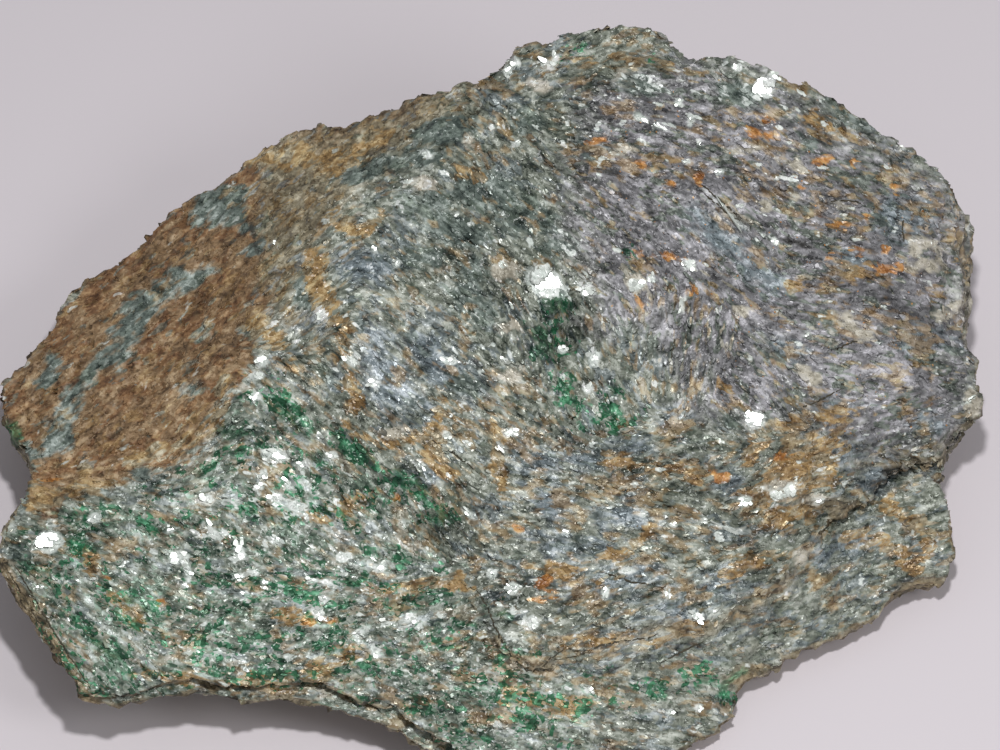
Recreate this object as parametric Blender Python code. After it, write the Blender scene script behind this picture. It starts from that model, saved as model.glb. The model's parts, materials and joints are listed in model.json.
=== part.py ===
"""A hand specimen of green mica schist: one broken block of mica leaves, lying on its flat cleaved base.

The block is two sheets of rock that grew as one. The lower sheet shows along the front as a bright
cleavage face. The upper sheet lies on it, is thicker towards the back, and ends in a broken lip that
crosses the block from left to right, where an open fissure parts the two sheets. A weathered joint
face slopes away at the back left. The frame is +Z up, with the front towards -Y.
"""

from math import cos, pi, radians, sin

import bmesh
import bpy
import numpy as np
from mathutils import Matrix, Vector, noise

MM = 0.001
NAME = "mica_crystal"

# Places on the top are given as seen from the front, looking down at this angle: how far across and
# how far up the leaning view plane a place lies, and then its real height. Lengths are in millimetres.
VIEW_ELEVATION = 55.0

# The middle of the finished block's outer box, which goes over the frame's origin.
MIDDLE = Vector((0.4, 1.0, 0.0))

# How far the skin reaches below the flat base, which is then cut at height 0.
BASE_SUNK = 0.6

# How far a fitted sheet may pass by the heights that it is fitted to: 0 is exact, more is smoother.
SHEET_SOFTNESS = 20.0

# Rings of corners in the skin on the top, down the broken side and under it, and its facets in the end.
TOP_RINGS = 78
SIDE_RINGS = 22
UNDER_RINGS = 16
TRIANGLES = 8400

# The top's edge, clockwise from its left tip: across, up, height; then the height at which the broken
# side under it ends, and how far out the flat base reaches, as a share of the edge's distance.
WEATHERED_EDGE = (
    (-65.5, 12.6, 12.0, 7.0, 0.48),
    (-61.5, 19.3, 12.5, 6.5, 0.51),
    (-55.5, 26.6, 13.2, 6.0, 0.54),
    (-48.1, 31.3, 15.0, 5.0, 0.61),
    (-40.8, 37.3, 17.0, 4.0, 0.66),
    (-33.5, 42.6, 20.0, 3.5, 0.69),
    (-24.1, 48.0, 24.0, 3.0, 0.74),
    (-17.5, 48.4, 26.5, 3.0, 0.74),
    (-6.8, 52.6, 30.0, 3.0, 0.74),
)
UPPER_EDGE = (
    (-0.1, 54.0, 32.0, 3.5, 0.74),
    (2.5, 56.6, 33.0, 3.5, 0.72),
    (7.2, 58.6, 34.5, 4.0, 0.70),
    (11.2, 60.4, 35.5, 4.0, 0.70),
    (14.5, 61.0, 36.0, 4.0, 0.70),
    (22.5, 60.6, 36.0, 4.0, 0.70),
    (26.5, 57.6, 35.0, 4.0, 0.72),
    (32.5, 56.0, 35.4, 4.0, 0.72),
    (37.2, 54.6, 35.0, 4.0, 0.72),
    (45.2, 51.6, 32.5, 4.5, 0.70),
    (51.9, 47.6, 29.5, 4.5, 0.70),
    (52.5, 46.4, 29.0, 5.0, 0.69),
    (55.2, 45.6, 28.0, 5.0, 0.69),
    (60.5, 41.0, 25.0, 6.0, 0.67),
    (63.6, 36.2, 22.0, 7.0, 0.66),
    (64.5, 30.0, 20.0, 7.0, 0.66),
    (64.1, 24.6, 18.0, 7.0, 0.66),
    (63.0, 20.6, 16.5, 7.0, 0.66),
    (63.9, 18.0, 16.0, 7.0, 0.66),
    (64.5, 12.0, 14.6, 6.4, 0.66),
    (63.6, 8.0, 13.6, 6.0, 0.67),
    (60.6, 5.4, 13.2, 5.4, 0.69),
    (58.0, 2.2, 12.6, 5.0, 0.69),
)
FRONT_EDGE = (
    (59.6, 0.8, 9.8, 4.6, 0.69),
    (60.9, -2.0, 9.0, 4.0, 0.69),
    (61.6, -7.4, 7.8, 3.6, 0.69),
    (61.2, -11.4, 6.2, 2.6, 0.69),
    (59.2, -14.3, 5.0, 1.8, 0.70),
    (55.2, -14.7, 5.0, 1.6, 0.72),
    (50.5, -18.0, 4.4, 1.4, 0.72),
    (41.2, -22.0, 4.0, 1.3, 0.72),
    (34.5, -26.7, 3.6, 1.2, 0.72),
    (33.2, -30.7, 3.4, 1.2, 0.72),
    (26.5, -34.0, 3.4, 1.2, 0.72),
    (19.9, -36.3, 3.8, 1.2, 0.71),
    (10.5, -38.0, 4.6, 1.5, 0.69),
    (1.2, -37.0, 6.0, 2.2, 0.66),
    (-6.8, -33.4, 8.4, 3.6, 0.61),
    (-12.1, -29.5, 9.8, 5.8, 0.57),
    (-18.8, -27.4, 10.8, 7.2, 0.52),
    (-25.5, -25.8, 11.4, 8.4, 0.48),
    (-32.1, -26.2, 12.0, 9.2, 0.44),
    (-40.1, -25.2, 12.6, 9.8, 0.39),
    (-50.8, -28.0, 12.8, 10.2, 0.36),
    (-53.0, -27.4, 13.0, 9.8, 0.35),
    (-57.5, -22.0, 13.4, 10.0, 0.35),
    (-61.7, -16.0, 13.8, 10.2, 0.36),
    (-64.1, -11.4, 14.2, 10.4, 0.37),
    (-65.2, -9.0, 14.6, 10.2, 0.38),
    (-64.7, -5.8, 14.8, 10.0, 0.38),
    (-61.5, -0.7, 14.6, 9.4, 0.42),
)
LEFT_EDGE = (
    (-60.5, 2.0, 14.2, 9.0, 0.43),
    (-61.7, 4.4, 13.5, 8.4, 0.45),
    (-65.1, 9.7, 12.5, 7.6, 0.46),
)

# The crease where the weathered joint face at the back left meets the lower sheet and then the upper
# sheet: across, up, height.
FRONT_CREASE = (
    (-70.0, -1.0, 12.0),
    (-60.1, -0.7, 14.9),
    (-49.5, 0.9, 18.0),
    (-38.8, 4.6, 20.8),
    (-35.5, 10.0, 22.8),
    (-32.5, 15.7, 24.8),
)
BACK_CREASE = (
    (-26.8, 27.3, 26.6),
    (-21.5, 38.0, 28.4),
    (-13.5, 46.0, 29.2),
    (-5.5, 52.4, 30.6),
    (-1.0, 62.0, 31.0),
)

# The broken lip of the upper sheet: across, up, height, and the step from there down to the lower sheet.
LIP = (
    (-34.0, 18.0, 25.0, 0.0),
    (-32.5, 15.7, 24.8, 0.0),
    (-26.8, 10.6, 24.5, 0.3),
    (-21.5, 6.0, 24.2, 0.6),
    (-16.8, 2.6, 23.6, 0.6),
    (-12.1, -0.7, 22.6, 0.6),
    (-8.1, -5.4, 21.2, 0.8),
    (-4.8, -10.3, 19.8, 0.9),
    (-1.5, -14.0, 18.4, 1.0),
    (0.8, -17.4, 17.2, 1.1),
    (2.8, -21.8, 15.4, 1.1),
    (5.2, -24.0, 14.3, 1.0),
    (9.2, -22.3, 14.8, 0.8),
    (17.2, -20.2, 14.6, 0.7),
    (27.9, -18.3, 13.6, 0.7),
    (34.5, -15.4, 13.4, 0.6),
    (39.2, -11.4, 13.6, 0.8),
    (43.2, -7.4, 13.8, 1.2),
    (49.2, -3.4, 13.8, 2.0),
    (53.2, -0.7, 13.8, 2.6),
    (57.9, 2.2, 13.6, 3.0),
    (70.0, 8.6, 13.0, 3.0),
)

# Heights inside the edge, as across, up, height: the upper sheet, the weathered face, the lower sheet.
UPPER_SHEET = (
    (14.5, 53.3, 37.0),
    (3.9, 48.6, 35.4),
    (-5.5, 47.3, 32.4),
    (22.5, 52.6, 36.6),
    (33.2, 50.0, 36.0),
    (43.9, 44.6, 33.4),
    (51.9, 38.0, 29.8),
    (58.5, 31.3, 25.2),
    (58.5, 20.6, 20.8),
    (58.5, 11.3, 16.8),
    (51.9, 6.0, 16.8),
    (46.5, 0.6, 15.8),
    (38.5, -4.7, 15.8),
    (30.5, -10.0, 15.8),
    (21.2, -15.4, 16.0),
    (11.9, -16.7, 16.8),
    (9.2, -10.0, 20.0),
    (6.5, -2.0, 22.8),
    (-1.5, -2.0, 22.8),
    (-1.5, 7.3, 25.4),
    (-9.5, 11.3, 26.8),
    (-18.8, 15.3, 27.0),
    (-25.5, 20.6, 26.8),
    (-12.1, 24.6, 29.4),
    (-18.8, 32.6, 29.2),
    (-12.1, 40.6, 31.4),
    (-1.5, 38.0, 33.2),
    (1.2, 24.6, 30.5),
    (10.5, 20.6, 28.4),
    (10.5, 30.0, 31.2),
    (10.5, 8.6, 26.2),
    (21.2, 7.3, 25.6),
    (21.2, -2.0, 21.6),
    (21.2, 20.6, 29.4),
    (21.2, 31.3, 32.2),
    (21.2, 43.3, 35.4),
    (33.2, 38.0, 34.2),
    (33.2, 24.6, 30.4),
    (33.2, 11.3, 25.4),
    (35.9, 2.0, 20.8),
    (45.2, 11.3, 22.6),
    (45.2, 24.6, 27.6),
    (45.2, 34.0, 31.2),
    (51.9, 20.6, 24.2),
    (51.9, 12.6, 19.8),
)
WEATHERED_FACE = (
    (-57.5, 14.0, 14.6),
    (-52.1, 19.3, 16.0),
    (-52.1, 7.3, 17.4),
    (-45.5, 11.3, 18.6),
    (-41.5, 22.0, 19.2),
    (-45.5, 26.0, 17.0),
    (-34.8, 31.3, 22.0),
    (-34.8, 20.6, 22.6),
    (-28.1, 38.0, 24.0),
    (-18.8, 43.3, 26.6),
    (-13.5, 47.3, 28.0),
)
LOWER_SHEET = (
    (54.5, -4.7, 10.2),
    (59.9, -7.4, 8.4),
    (54.5, -11.4, 7.4),
    (47.9, -15.4, 6.6),
    (41.2, -15.4, 8.6),
    (46.5, -10.0, 10.0),
    (35.9, -20.7, 7.2),
    (27.9, -26.0, 7.0),
    (17.2, -27.4, 9.2),
    (9.2, -28.7, 9.8),
    (14.5, -34.0, 5.8),
    (6.5, -27.4, 11.2),
    (1.2, -26.0, 12.6),
    (-5.5, -20.7, 14.6),
    (-8.1, -27.4, 11.8),
    (-14.8, -23.4, 13.6),
    (-25.5, -20.7, 14.4),
    (-38.8, -20.7, 13.8),
    (-49.5, -22.0, 13.8),
    (-57.5, -15.4, 14.4),
    (-57.5, -7.4, 15.6),
    (-45.5, -10.0, 16.4),
    (-45.5, -2.0, 18.0),
    (-32.1, 0.6, 20.4),
    (-32.1, -10.0, 17.8),
    (-21.5, -4.7, 19.8),
    (-18.8, -12.7, 17.6),
    (-12.1, -15.4, 16.8),
    (-8.1, -10.0, 18.4),
    (-25.5, 8.6, 23.0),
)

# Hollows in the top, in plan: x, y, half length, half width, turn in degrees, depth.
HOLLOWS = (
    (10.9, 6.4, 4.4, 2.4, 75.0, 2.6),
    (5.2, 15.6, 4.0, 2.2, 20.0, 1.2),
    (-8.1, -18.5, 3.4, 2.0, -40.0, 1.2),
    (26.8, 45.5, 3.2, 1.8, 60.0, 2.0),
    (53.9, 20.9, 3.2, 1.1, -60.0, 1.2),
    (25.9, -0.6, 4.2, 1.0, 80.0, 1.0),
    (61.0, 5.2, 3.0, 1.4, 30.0, 1.0),
    (-2.0, -11.5, 6.0, 1.6, -24.0, 0.9),
    (0.5, 45.0, 2.4, 1.6, 50.0, 1.3),
    (-38.0, 14.0, 6.0, 3.0, 40.0, 0.8),
)

# Low ribs on the top, in plan: from x, y to x, y, with a height and a half width.
RIBS = (
    (27.9, 24.1, 33.9, 19.1, 1.1, 0.9),
    (1.5, 41.5, 27.0, 39.5, 1.3, 3.0),
    (-19.5, 5.0, -3.0, -6.5, 1.4, 3.4),
    (34.0, -9.0, 57.0, 1.5, 0.8, 2.2),
    (30.0, 8.0, 52.0, 6.0, 0.7, 1.8),
    (13.0, 27.0, 27.0, 13.0, 0.7, 1.6),
    (-30.0, 6.0, -22.0, 30.0, 0.7, 2.4),
    (40.0, 30.0, 56.0, 17.0, 0.8, 2.0),
    (-50.0, 8.0, -40.0, 24.0, 0.6, 2.0),
    (-44.0, -26.0, -20.0, -34.0, 0.5, 3.0),
)

# Knobs along the back edge, in plan: x, y, radius, height.
KNOBS = (
    (4.5, 46.0, 2.6, 1.3),
    (9.5, 48.4, 2.2, 1.2),
    (14.0, 49.6, 2.8, 1.0),
    (20.5, 49.4, 2.6, 1.3),
    (23.8, 46.6, 2.0, 1.2),
    (34.0, 42.4, 2.6, 0.9),
    (43.0, 38.6, 2.4, 0.9),
    (51.5, 33.4, 2.2, 0.9),
    (59.0, 28.2, 2.2, 0.8),
    (-8.5, 41.4, 2.4, 0.8),
    (-22.0, 39.6, 2.2, 0.7),
)

# Books of mica that stand out of the rock, in plan: x, y, radius, thickness, turn and tilt in degrees.
BOOKS = (
    (64.2, 3.2, 3.0, 0.6, 20.0, 12.0),
    (60.0, -3.6, 2.8, 0.5, 50.0, 10.0),
    (6.8, 12.2, 2.0, 0.7, 10.0, 8.0),
    (11.4, 11.4, 1.5, 0.6, 40.0, 10.0),
    (-58.4, -19.6, 1.6, 0.6, 0.0, 6.0),
    (35.2, -5.4, 1.5, 0.6, 25.0, 8.0),
    (36.8, 41.0, 1.8, 0.7, 35.0, 12.0),
)

# The open fissure under the upper sheet, from its closed end out past the right side: x, y, z, height.
FISSURE = (
    (43.2, -18.6, 12.4, 0.4),
    (49.2, -13.4, 11.9, 1.0),
    (53.2, -9.9, 11.5, 1.3),
    (57.9, -6.0, 11.2, 1.6),
    (72.0, 5.0, 10.4, 2.2),
)
FISSURE_DEPTH = 9.0
FISSURE_MOUTH = 3.0
FISSURE_DIP = 1.2

# Noise in the top's relief: height, size of a lump, how far it is drawn out along the grain, seed.
RELIEF = (
    (1.0, 15.0, 1.0, 1.0),
    (0.7, 7.0, 1.0, 2.0),
    (0.7, 4.5, 2.2, 7.0),
    (0.35, 2.0, 1.8, 8.0),
)

# Leaves that have split off: height of the patch left standing, its size and stretch, the noise level
# at its edge, the size of the edge's jags, and seed.
LEDGES = (
    (0.55, 13.0, 1.9, 0.0, 3.0, 21.0),
    (0.45, 7.0, 1.8, 0.12, 2.4, 23.0),
    (-0.35, 4.2, 1.6, 0.18, 1.8, 25.0),
)
JAG_SHARE = 0.27
LEDGE_SLOPE = 0.06

# How much of that relief the smoother lower sheet and weathered face have, and the width of the ragged
# edges between the sheets.
SMOOTH_SHARE = 0.5
LIP_WIDTH = 1.0
CREASE_WIDTH = 2.5

# The broken side: how far a tall side bulges, its leaves and blocks stand out and its foot draws in, and
# the jogs of the edge. In front at the left a leaf has parted from the one under it.
BULGE = 2.4
LEAF_RELIEF = 1.0
BLOCK_RELIEF = 1.6
FOOT_DRAWN_IN = 1.2
UNDERCUT = 0.45
JOGS = ((0.7, 9.0, 0.5), (0.5, 24.0, 1.5))
PARTED_MIDDLE = radians(-119.0)
PARTED_REACH = radians(24.0)
PARTED_DEPTH = 3.4
PARTED_SHELF = 1.8


def clear_scene():
    for obj in list(bpy.data.objects):
        bpy.data.objects.remove(obj)


def make_collection(name):
    collection = bpy.data.collections.new(name)
    bpy.context.scene.collection.children.link(collection)
    return collection


def in_frame(place):
    """A place in the tables' millimetres as a place in the part's frame, in metres."""
    return (Vector(place) - MIDDLE) * MM


def smoothstep(value):
    value = np.clip(value, 0.0, 1.0)
    return value * value * (3.0 - 2.0 * value)


def thin_plate(points):
    """A smooth sheet through heights at scattered places, as a function of x and y."""
    points = np.array(points)
    places = points[:, :2]

    def kernel(a, b):
        squared = ((a[:, None, :] - b[None, :, :]) ** 2).sum(2)
        return 0.5 * squared * np.log(squared + 1e-9)

    count = len(points)
    plane = np.column_stack([np.ones(count), places])
    system = np.zeros((count + 3, count + 3))
    system[:count, :count] = kernel(places, places) + SHEET_SOFTNESS * np.eye(count)
    system[:count, count:] = plane
    system[count:, :count] = plane.T
    weights = np.linalg.solve(system, np.concatenate([points[:, 2], np.zeros(3)]))

    def height(x, y):
        at = np.column_stack([x, y])
        return kernel(at, places) @ weights[:count] + weights[count] + at @ weights[count + 1 :]

    return height


def in_plan(points):
    """Turns rows of across, up, height and so on into rows of x, y, height and so on."""
    rows = np.array(points)
    lean = radians(VIEW_ELEVATION)
    rows[:, 1] = (rows[:, 1] - rows[:, 2] * cos(lean)) / sin(lean)
    return rows


def fitted_sheet(*tables):
    return thin_plate(np.vstack([in_plan(table)[:, :3] for table in tables]))


LIP_FOOT = tuple((across, up, high - step) for across, up, high, step in LIP)
edge_line = in_plan(WEATHERED_EDGE + UPPER_EDGE + FRONT_EDGE + LEFT_EDGE)
crease_line = in_plan(FRONT_CREASE + BACK_CREASE)
lip_line = in_plan(LIP)
upper_sheet = fitted_sheet(UPPER_EDGE, LIP[1:-1], BACK_CREASE[:-1], UPPER_SHEET)
lower_sheet = fitted_sheet(FRONT_EDGE, LIP_FOOT[1:-1], FRONT_CREASE[1:], LOWER_SHEET)
weathered_face = fitted_sheet(LEFT_EDGE, WEATHERED_EDGE, FRONT_CREASE[1:], BACK_CREASE[:-1], WEATHERED_FACE)


def crumple(x, y, z, size, seed):
    """Smooth noise from -1 to 1, with lumps of the given size in millimetres."""
    at = zip(x / size + seed, y / size - seed, z / size + 2.0 * seed)
    return np.array([noise.noise(Vector(point)) for point in at])


def streaks(x, y, size, stretch, seed):
    """Noise drawn out along the mica's grain, whose lines draw together towards the right."""
    across = (y + 4.0) / (1.0 - 0.0065 * x) + 0.12 * x
    return crumple(x / stretch, across, np.zeros_like(x), size, seed)


def ledges(x, y):
    """Flat patches with ragged edges, each one leaf's thickness above or below the rest."""
    rise = np.zeros_like(x)
    for high, size, stretch, level, jag, seed in LEDGES:
        noise_here = streaks(x, y, size, stretch, seed) + JAG_SHARE * streaks(x, y, jag, 1.4, seed + 1.0)
        rise += high * smoothstep((noise_here - level) / LEDGE_SLOPE + 0.5)
    return rise


def side_of(x, y, line):
    """How far a place lies behind a line that crosses the block from left to right."""
    ahead = 0.5
    level = np.interp(x, line[:, 0], line[:, 1])
    slope = (np.interp(x + ahead, line[:, 0], line[:, 1]) - level) / ahead
    return (y - level) / np.sqrt(1.0 + slope**2)


def above_lip(x, y):
    """1 on the upper sheet and 0 on the lower one, with a ragged edge between them."""
    flat = np.zeros_like(x)
    ragged = 1.1 * crumple(x, y, flat, 6.0, 3.0) + 0.6 * crumple(x, y, flat, 2.2, 5.0)
    return smoothstep((side_of(x, y, lip_line) + ragged) / LIP_WIDTH + 0.5)


def on_weathered_face(x, y):
    """1 on the weathered joint face and 0 elsewhere, with a ragged edge between them."""
    ragged = crumple(x, y, np.zeros_like(x), 6.0, 4.0)
    return smoothstep((side_of(x, y, crease_line) + ragged) / CREASE_WIDTH + 0.5)


def hollows(x, y):
    depth = np.zeros_like(x)
    for cx, cy, length, width, turn, deep in HOLLOWS:
        along = (x - cx) * cos(radians(turn)) + (y - cy) * sin(radians(turn))
        across = (y - cy) * cos(radians(turn)) - (x - cx) * sin(radians(turn))
        reach = np.sqrt((along / length) ** 2 + (across / width) ** 2)
        depth += deep * (1.0 - smoothstep(reach * 0.75))
    return depth


def ribs(x, y):
    rise = np.zeros_like(x)
    for ax, ay, bx, by, high, width in RIBS:
        length = (bx - ax) ** 2 + (by - ay) ** 2
        share = np.clip(((x - ax) * (bx - ax) + (y - ay) * (by - ay)) / length, 0.0, 1.0)
        gap = np.hypot(x - ax - share * (bx - ax), y - ay - share * (by - ay))
        rise += high * (1.0 - smoothstep(gap / (2.0 * width)))
    for cx, cy, radius, high in KNOBS:
        rise += high * (1.0 - smoothstep(np.hypot(x - cx, y - cy) / (1.5 * radius)))
    return rise


def top_height(x, y):
    """The height of the block's top at a place in plan, with all of its relief."""
    above = above_lip(x, y)
    weathered = on_weathered_face(x, y)
    base = above * upper_sheet(x, y) + (1.0 - above) * lower_sheet(x, y)
    base = weathered * weathered_face(x, y) + (1.0 - weathered) * base
    rough = ledges(x, y)
    for high, size, stretch, seed in RELIEF:
        rough += high * streaks(x, y, size, stretch, seed)
    share = SMOOTH_SHARE + (1.0 - SMOOTH_SHARE) * above * (1.0 - weathered)
    return base + rough * share + ribs(x, y) - hollows(x, y)


def edge_at(turn):
    """The edge's distance, side foot and base share in each direction, read from the outline."""
    corners = edge_line[:, :2]
    angle = np.arctan2(corners[:, 1], corners[:, 0])
    order = np.argsort(angle)
    angle = angle[order]
    corners = corners[order]
    values = edge_line[order][:, 3:]
    first = (np.searchsorted(angle, turn) - 1) % len(angle)
    second = (first + 1) % len(angle)
    start = corners[first]
    run = corners[second] - start
    beam = np.column_stack([np.cos(turn), np.sin(turn)])
    cross = beam[:, 0] * run[:, 1] - beam[:, 1] * run[:, 0]
    distance = (start[:, 0] * run[:, 1] - start[:, 1] * run[:, 0]) / cross
    share = np.clip(np.hypot(*(beam * distance[:, None] - start).T) / np.hypot(*run.T), 0.0, 1.0)
    side = values[first] * (1.0 - share[:, None]) + values[second] * share[:, None]
    return distance, side[:, 0], side[:, 1]


def side_noise(turn, level, waves, high, seed):
    """Noise over the broken side, with so many waves to a radian and lumps of a height in millimetres."""
    return crumple(waves * np.cos(turn), waves * np.sin(turn), level / high, 1.0, seed)


def parted_leaf(turn, share):
    """The gap under the top leaf at the front left, and the shelf that the next leaf makes below it."""
    beside = PARTED_REACH - np.abs(turn - PARTED_MIDDLE)
    here = smoothstep(beside / radians(8.0))
    gap = PARTED_DEPTH * np.exp(-(((share - 0.38) / 0.12) ** 2))
    return here, here * (PARTED_SHELF * smoothstep((share - 0.46) / 0.1) - gap)


def side_relief(turn, share, edge, foot):
    """How far the broken side stands out from under the edge, a share of the way down to its foot."""
    tall = edge - foot
    level = share * tall
    bulge = BULGE * np.sin(pi * share) * smoothstep((tall - 6.0) / 14.0)
    leaves = LEAF_RELIEF * side_noise(turn, level, 3.0, 1.6, 2.0)
    blocks = BLOCK_RELIEF * side_noise(turn, level, 7.0, 7.0, 3.0) * smoothstep(tall / 15.0)
    here, parted = parted_leaf(turn, share)
    thin = (1.0 - smoothstep((tall - 3.0) / 4.0)) * smoothstep(-2.0 * np.sin(turn)) * (1.0 - here)
    from_edge = smoothstep(share / 0.12)
    return from_edge * (bulge + leaves + blocks) + parted - FOOT_DRAWN_IN * share**3 - UNDERCUT * level * thin


def skin_rings():
    """The skin's rings, from mid top to mid base: corners, part of the skin, share of that part."""
    full = 6 * TOP_RINGS
    rings = [(max(1, 6 * ring), "top", ring / TOP_RINGS) for ring in range(TOP_RINGS + 1)]
    rings += [(full, "side", ring / SIDE_RINGS) for ring in range(1, SIDE_RINGS + 1)]
    rings += [(full, "under", ring / UNDER_RINGS) for ring in range(1, UNDER_RINGS + 1)]
    return rings + [(full // 4, "base", 0.3), (full // 16, "base", 0.7), (1, "base", 1.0)]


def stitch(mesh, ring, following):
    """Fills the band between two rings with triangles, whatever their numbers of corners."""
    steps = [((index + 1) / len(ring), 0) for index in range(len(ring)) if len(ring) > 1]
    steps += [((index + 1) / len(following), 1) for index in range(len(following)) if len(following) > 1]
    at = [0, 0]
    for _, moved in sorted(steps):
        corner = ring[at[0] % len(ring)]
        facing = following[at[1] % len(following)]
        at[moved] += 1
        loop = following if moved else ring
        mesh.faces.new((corner, facing, loop[at[moved] % len(loop)]))


def skin_places(turn, part, share):
    """Where the skin's corners lie, given their directions, parts of the skin and shares of them."""
    down = np.where(part == "top", 0.0, np.where(part == "side", share, 1.0))
    plain_reach, foot, base = edge_at(turn)
    jogs = sum(size * side_noise(turn, np.zeros_like(turn), waves, 1.0, seed) for size, waves, seed in JOGS)
    reach = plain_reach + jogs
    edge = top_height(reach * np.cos(turn), reach * np.sin(turn))
    foot = np.minimum(foot, edge - 1.4)
    side_out = plain_reach + jogs * (1.0 - 0.8 * down) + side_relief(turn, down, edge, foot)
    base_out = base * reach
    under = np.where(part == "under", share, 0.0)
    distance = np.where(part == "top", reach * share, side_out + (base_out - side_out) * under)
    distance = np.where(part == "base", base_out * (1.0 - share), distance)
    x = distance * np.cos(turn)
    y = distance * np.sin(turn)
    hang = foot * (1.0 - under) ** 1.3
    rough = 0.8 * crumple(x, y, hang, 7.0, 9.0) + 0.5 * crumple(x, y, hang, 3.0, 6.0)
    hang += rough * np.minimum(1.0, 4.0 * under * (1.0 - under)) - BASE_SUNK * under
    z = np.where(part == "top", top_height(x, y), edge + (foot - edge) * down)
    z = np.where(part == "under", hang, z)
    z = np.where(part == "base", -BASE_SUNK, z)
    return np.column_stack([x, y, z])


def build_block(collection):
    """The block as one closed skin of rings: the top, the broken side, the underside and the flat base."""
    rings = skin_rings()
    turn = np.concatenate([2.0 * pi * np.arange(count) / count - pi for count, part, share in rings])
    part = np.concatenate([np.full(count, part) for count, part, share in rings])
    share = np.concatenate([np.full(count, share) for count, part, share in rings])
    skin = bmesh.new()
    corners = [skin.verts.new(in_frame(place)) for place in skin_places(turn, part, share)]
    starts = np.cumsum([0] + [count for count, part, share in rings])
    loops = [corners[start:end] for start, end in zip(starts, starts[1:])]
    for ring, following in zip(loops, loops[1:]):
        stitch(skin, ring, following)
    bmesh.ops.recalc_face_normals(skin, faces=skin.faces)
    mesh = bpy.data.meshes.new(NAME)
    skin.to_mesh(mesh)
    skin.free()
    block = bpy.data.objects.new(NAME, mesh)
    collection.objects.link(block)
    return block


def guide(obj):
    obj.hide_render = True
    obj.display_type = "WIRE"


def fissure_cutter(collection):
    """A bent wedge along the foot of the upper sheet: open at the front, closing towards the back."""
    path = np.array(FISSURE)
    cutter = bmesh.new()
    rows = []
    for index, (x, y, z, mouth) in enumerate(path):
        ahead = path[min(index + 1, len(path) - 1)] - path[max(index - 1, 0)]
        inward = Vector((-ahead[1], ahead[0], 0.0)).normalized()
        place = Vector((x, y, z))
        front = place - inward * FISSURE_MOUTH
        back = place + inward * FISSURE_DEPTH - Vector((0.0, 0.0, FISSURE_DIP))
        lift = Vector((0.0, 0.0, 0.5))
        wide = lift * mouth * 1.3
        narrow = lift * mouth * 0.4
        corners = (front - wide, back - narrow, back + narrow, front + wide)
        rows.append([cutter.verts.new(in_frame(corner)) for corner in corners])
    for row, following in zip(rows, rows[1:]):
        for side in range(4):
            other = (side + 1) % 4
            cutter.faces.new((row[side], row[other], following[other], following[side]))
    cutter.faces.new(rows[0][::-1])
    cutter.faces.new(rows[-1])
    bmesh.ops.recalc_face_normals(cutter, faces=cutter.faces)
    mesh = bpy.data.meshes.new("fissure")
    cutter.to_mesh(mesh)
    cutter.free()
    obj = bpy.data.objects.new("fissure", mesh)
    collection.objects.link(obj)
    guide(obj)
    return obj


def base_cutter(collection):
    """A slab under the block, whose top is the level that the block rests on."""
    slab = bmesh.new()
    bmesh.ops.create_cube(slab, size=2.0)
    bmesh.ops.scale(slab, vec=(100.0 * MM, 100.0 * MM, 10.0 * MM), verts=slab.verts)
    bmesh.ops.translate(slab, vec=(0.0, 0.0, -10.0 * MM), verts=slab.verts)
    mesh = bpy.data.meshes.new("base")
    slab.to_mesh(mesh)
    slab.free()
    obj = bpy.data.objects.new("base", mesh)
    collection.objects.link(obj)
    guide(obj)
    return obj


def surface_frame(x, y, turn, tilt):
    """Where a mica book sits on the top, lying with the slope and then turned and tilted."""
    places = np.array([(x, y), (x + 2.0, y), (x, y + 2.0)])
    heights = top_height(places[:, 0], places[:, 1])
    normal = Vector((heights[0] - heights[1], heights[0] - heights[2], 2.0)).normalized()
    lie = normal.to_track_quat("Z", "Y").to_matrix().to_4x4()
    own = Matrix.Rotation(radians(turn), 4, "Z") @ Matrix.Rotation(radians(tilt), 4, "X")
    return Matrix.Translation(in_frame((x, y, heights[0]))) @ lie @ own


def mica_book(collection, number):
    """A six-sided book of mica, sunk by half of its thickness in the rock that it is part of."""
    x, y, radius, thick, turn, tilt = BOOKS[number]
    book = bmesh.new()
    bmesh.ops.create_cone(
        book,
        cap_ends=True,
        segments=6,
        radius1=radius * MM,
        radius2=0.9 * radius * MM,
        depth=2.0 * thick * MM,
    )
    bmesh.ops.scale(book, vec=(1.0, 0.72, 1.0), verts=book.verts)
    bmesh.ops.transform(book, matrix=surface_frame(x, y, turn, tilt), verts=book.verts)
    mesh = bpy.data.meshes.new(f"book_{number}")
    book.to_mesh(mesh)
    book.free()
    obj = bpy.data.objects.new(f"book_{number}", mesh)
    collection.objects.link(obj)
    guide(obj)
    return obj


def add_boolean(block, operation, obj):
    boolean = block.modifiers.new(obj.name, "BOOLEAN")
    boolean.operation = operation
    boolean.solver = "EXACT"
    boolean.object = obj


def mica_material():
    material = bpy.data.materials.new("mica")
    material.use_nodes = True
    shader = material.node_tree.nodes["Principled BSDF"]
    shader.inputs["Base Color"].default_value = (0.24, 0.29, 0.27, 1.0)
    shader.inputs["Roughness"].default_value = 0.38
    shader.inputs["Metallic"].default_value = 0.0
    return material


def main():
    clear_scene()
    parts = make_collection(NAME)
    cutters = make_collection("cutters_and_books")
    block = build_block(parts)
    facets = block.modifiers.new("facets", "DECIMATE")
    facets.ratio = TRIANGLES / len(block.data.polygons)
    add_boolean(block, "DIFFERENCE", base_cutter(cutters))
    add_boolean(block, "DIFFERENCE", fissure_cutter(cutters))
    for number in range(len(BOOKS)):
        add_boolean(block, "UNION", mica_book(cutters, number))
    block.data.materials.append(mica_material())


main()
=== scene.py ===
"""Hand specimen of green chrome-mica schist: its skin, its leaves, its finish and its stage."""

import json
import math
import random

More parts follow.
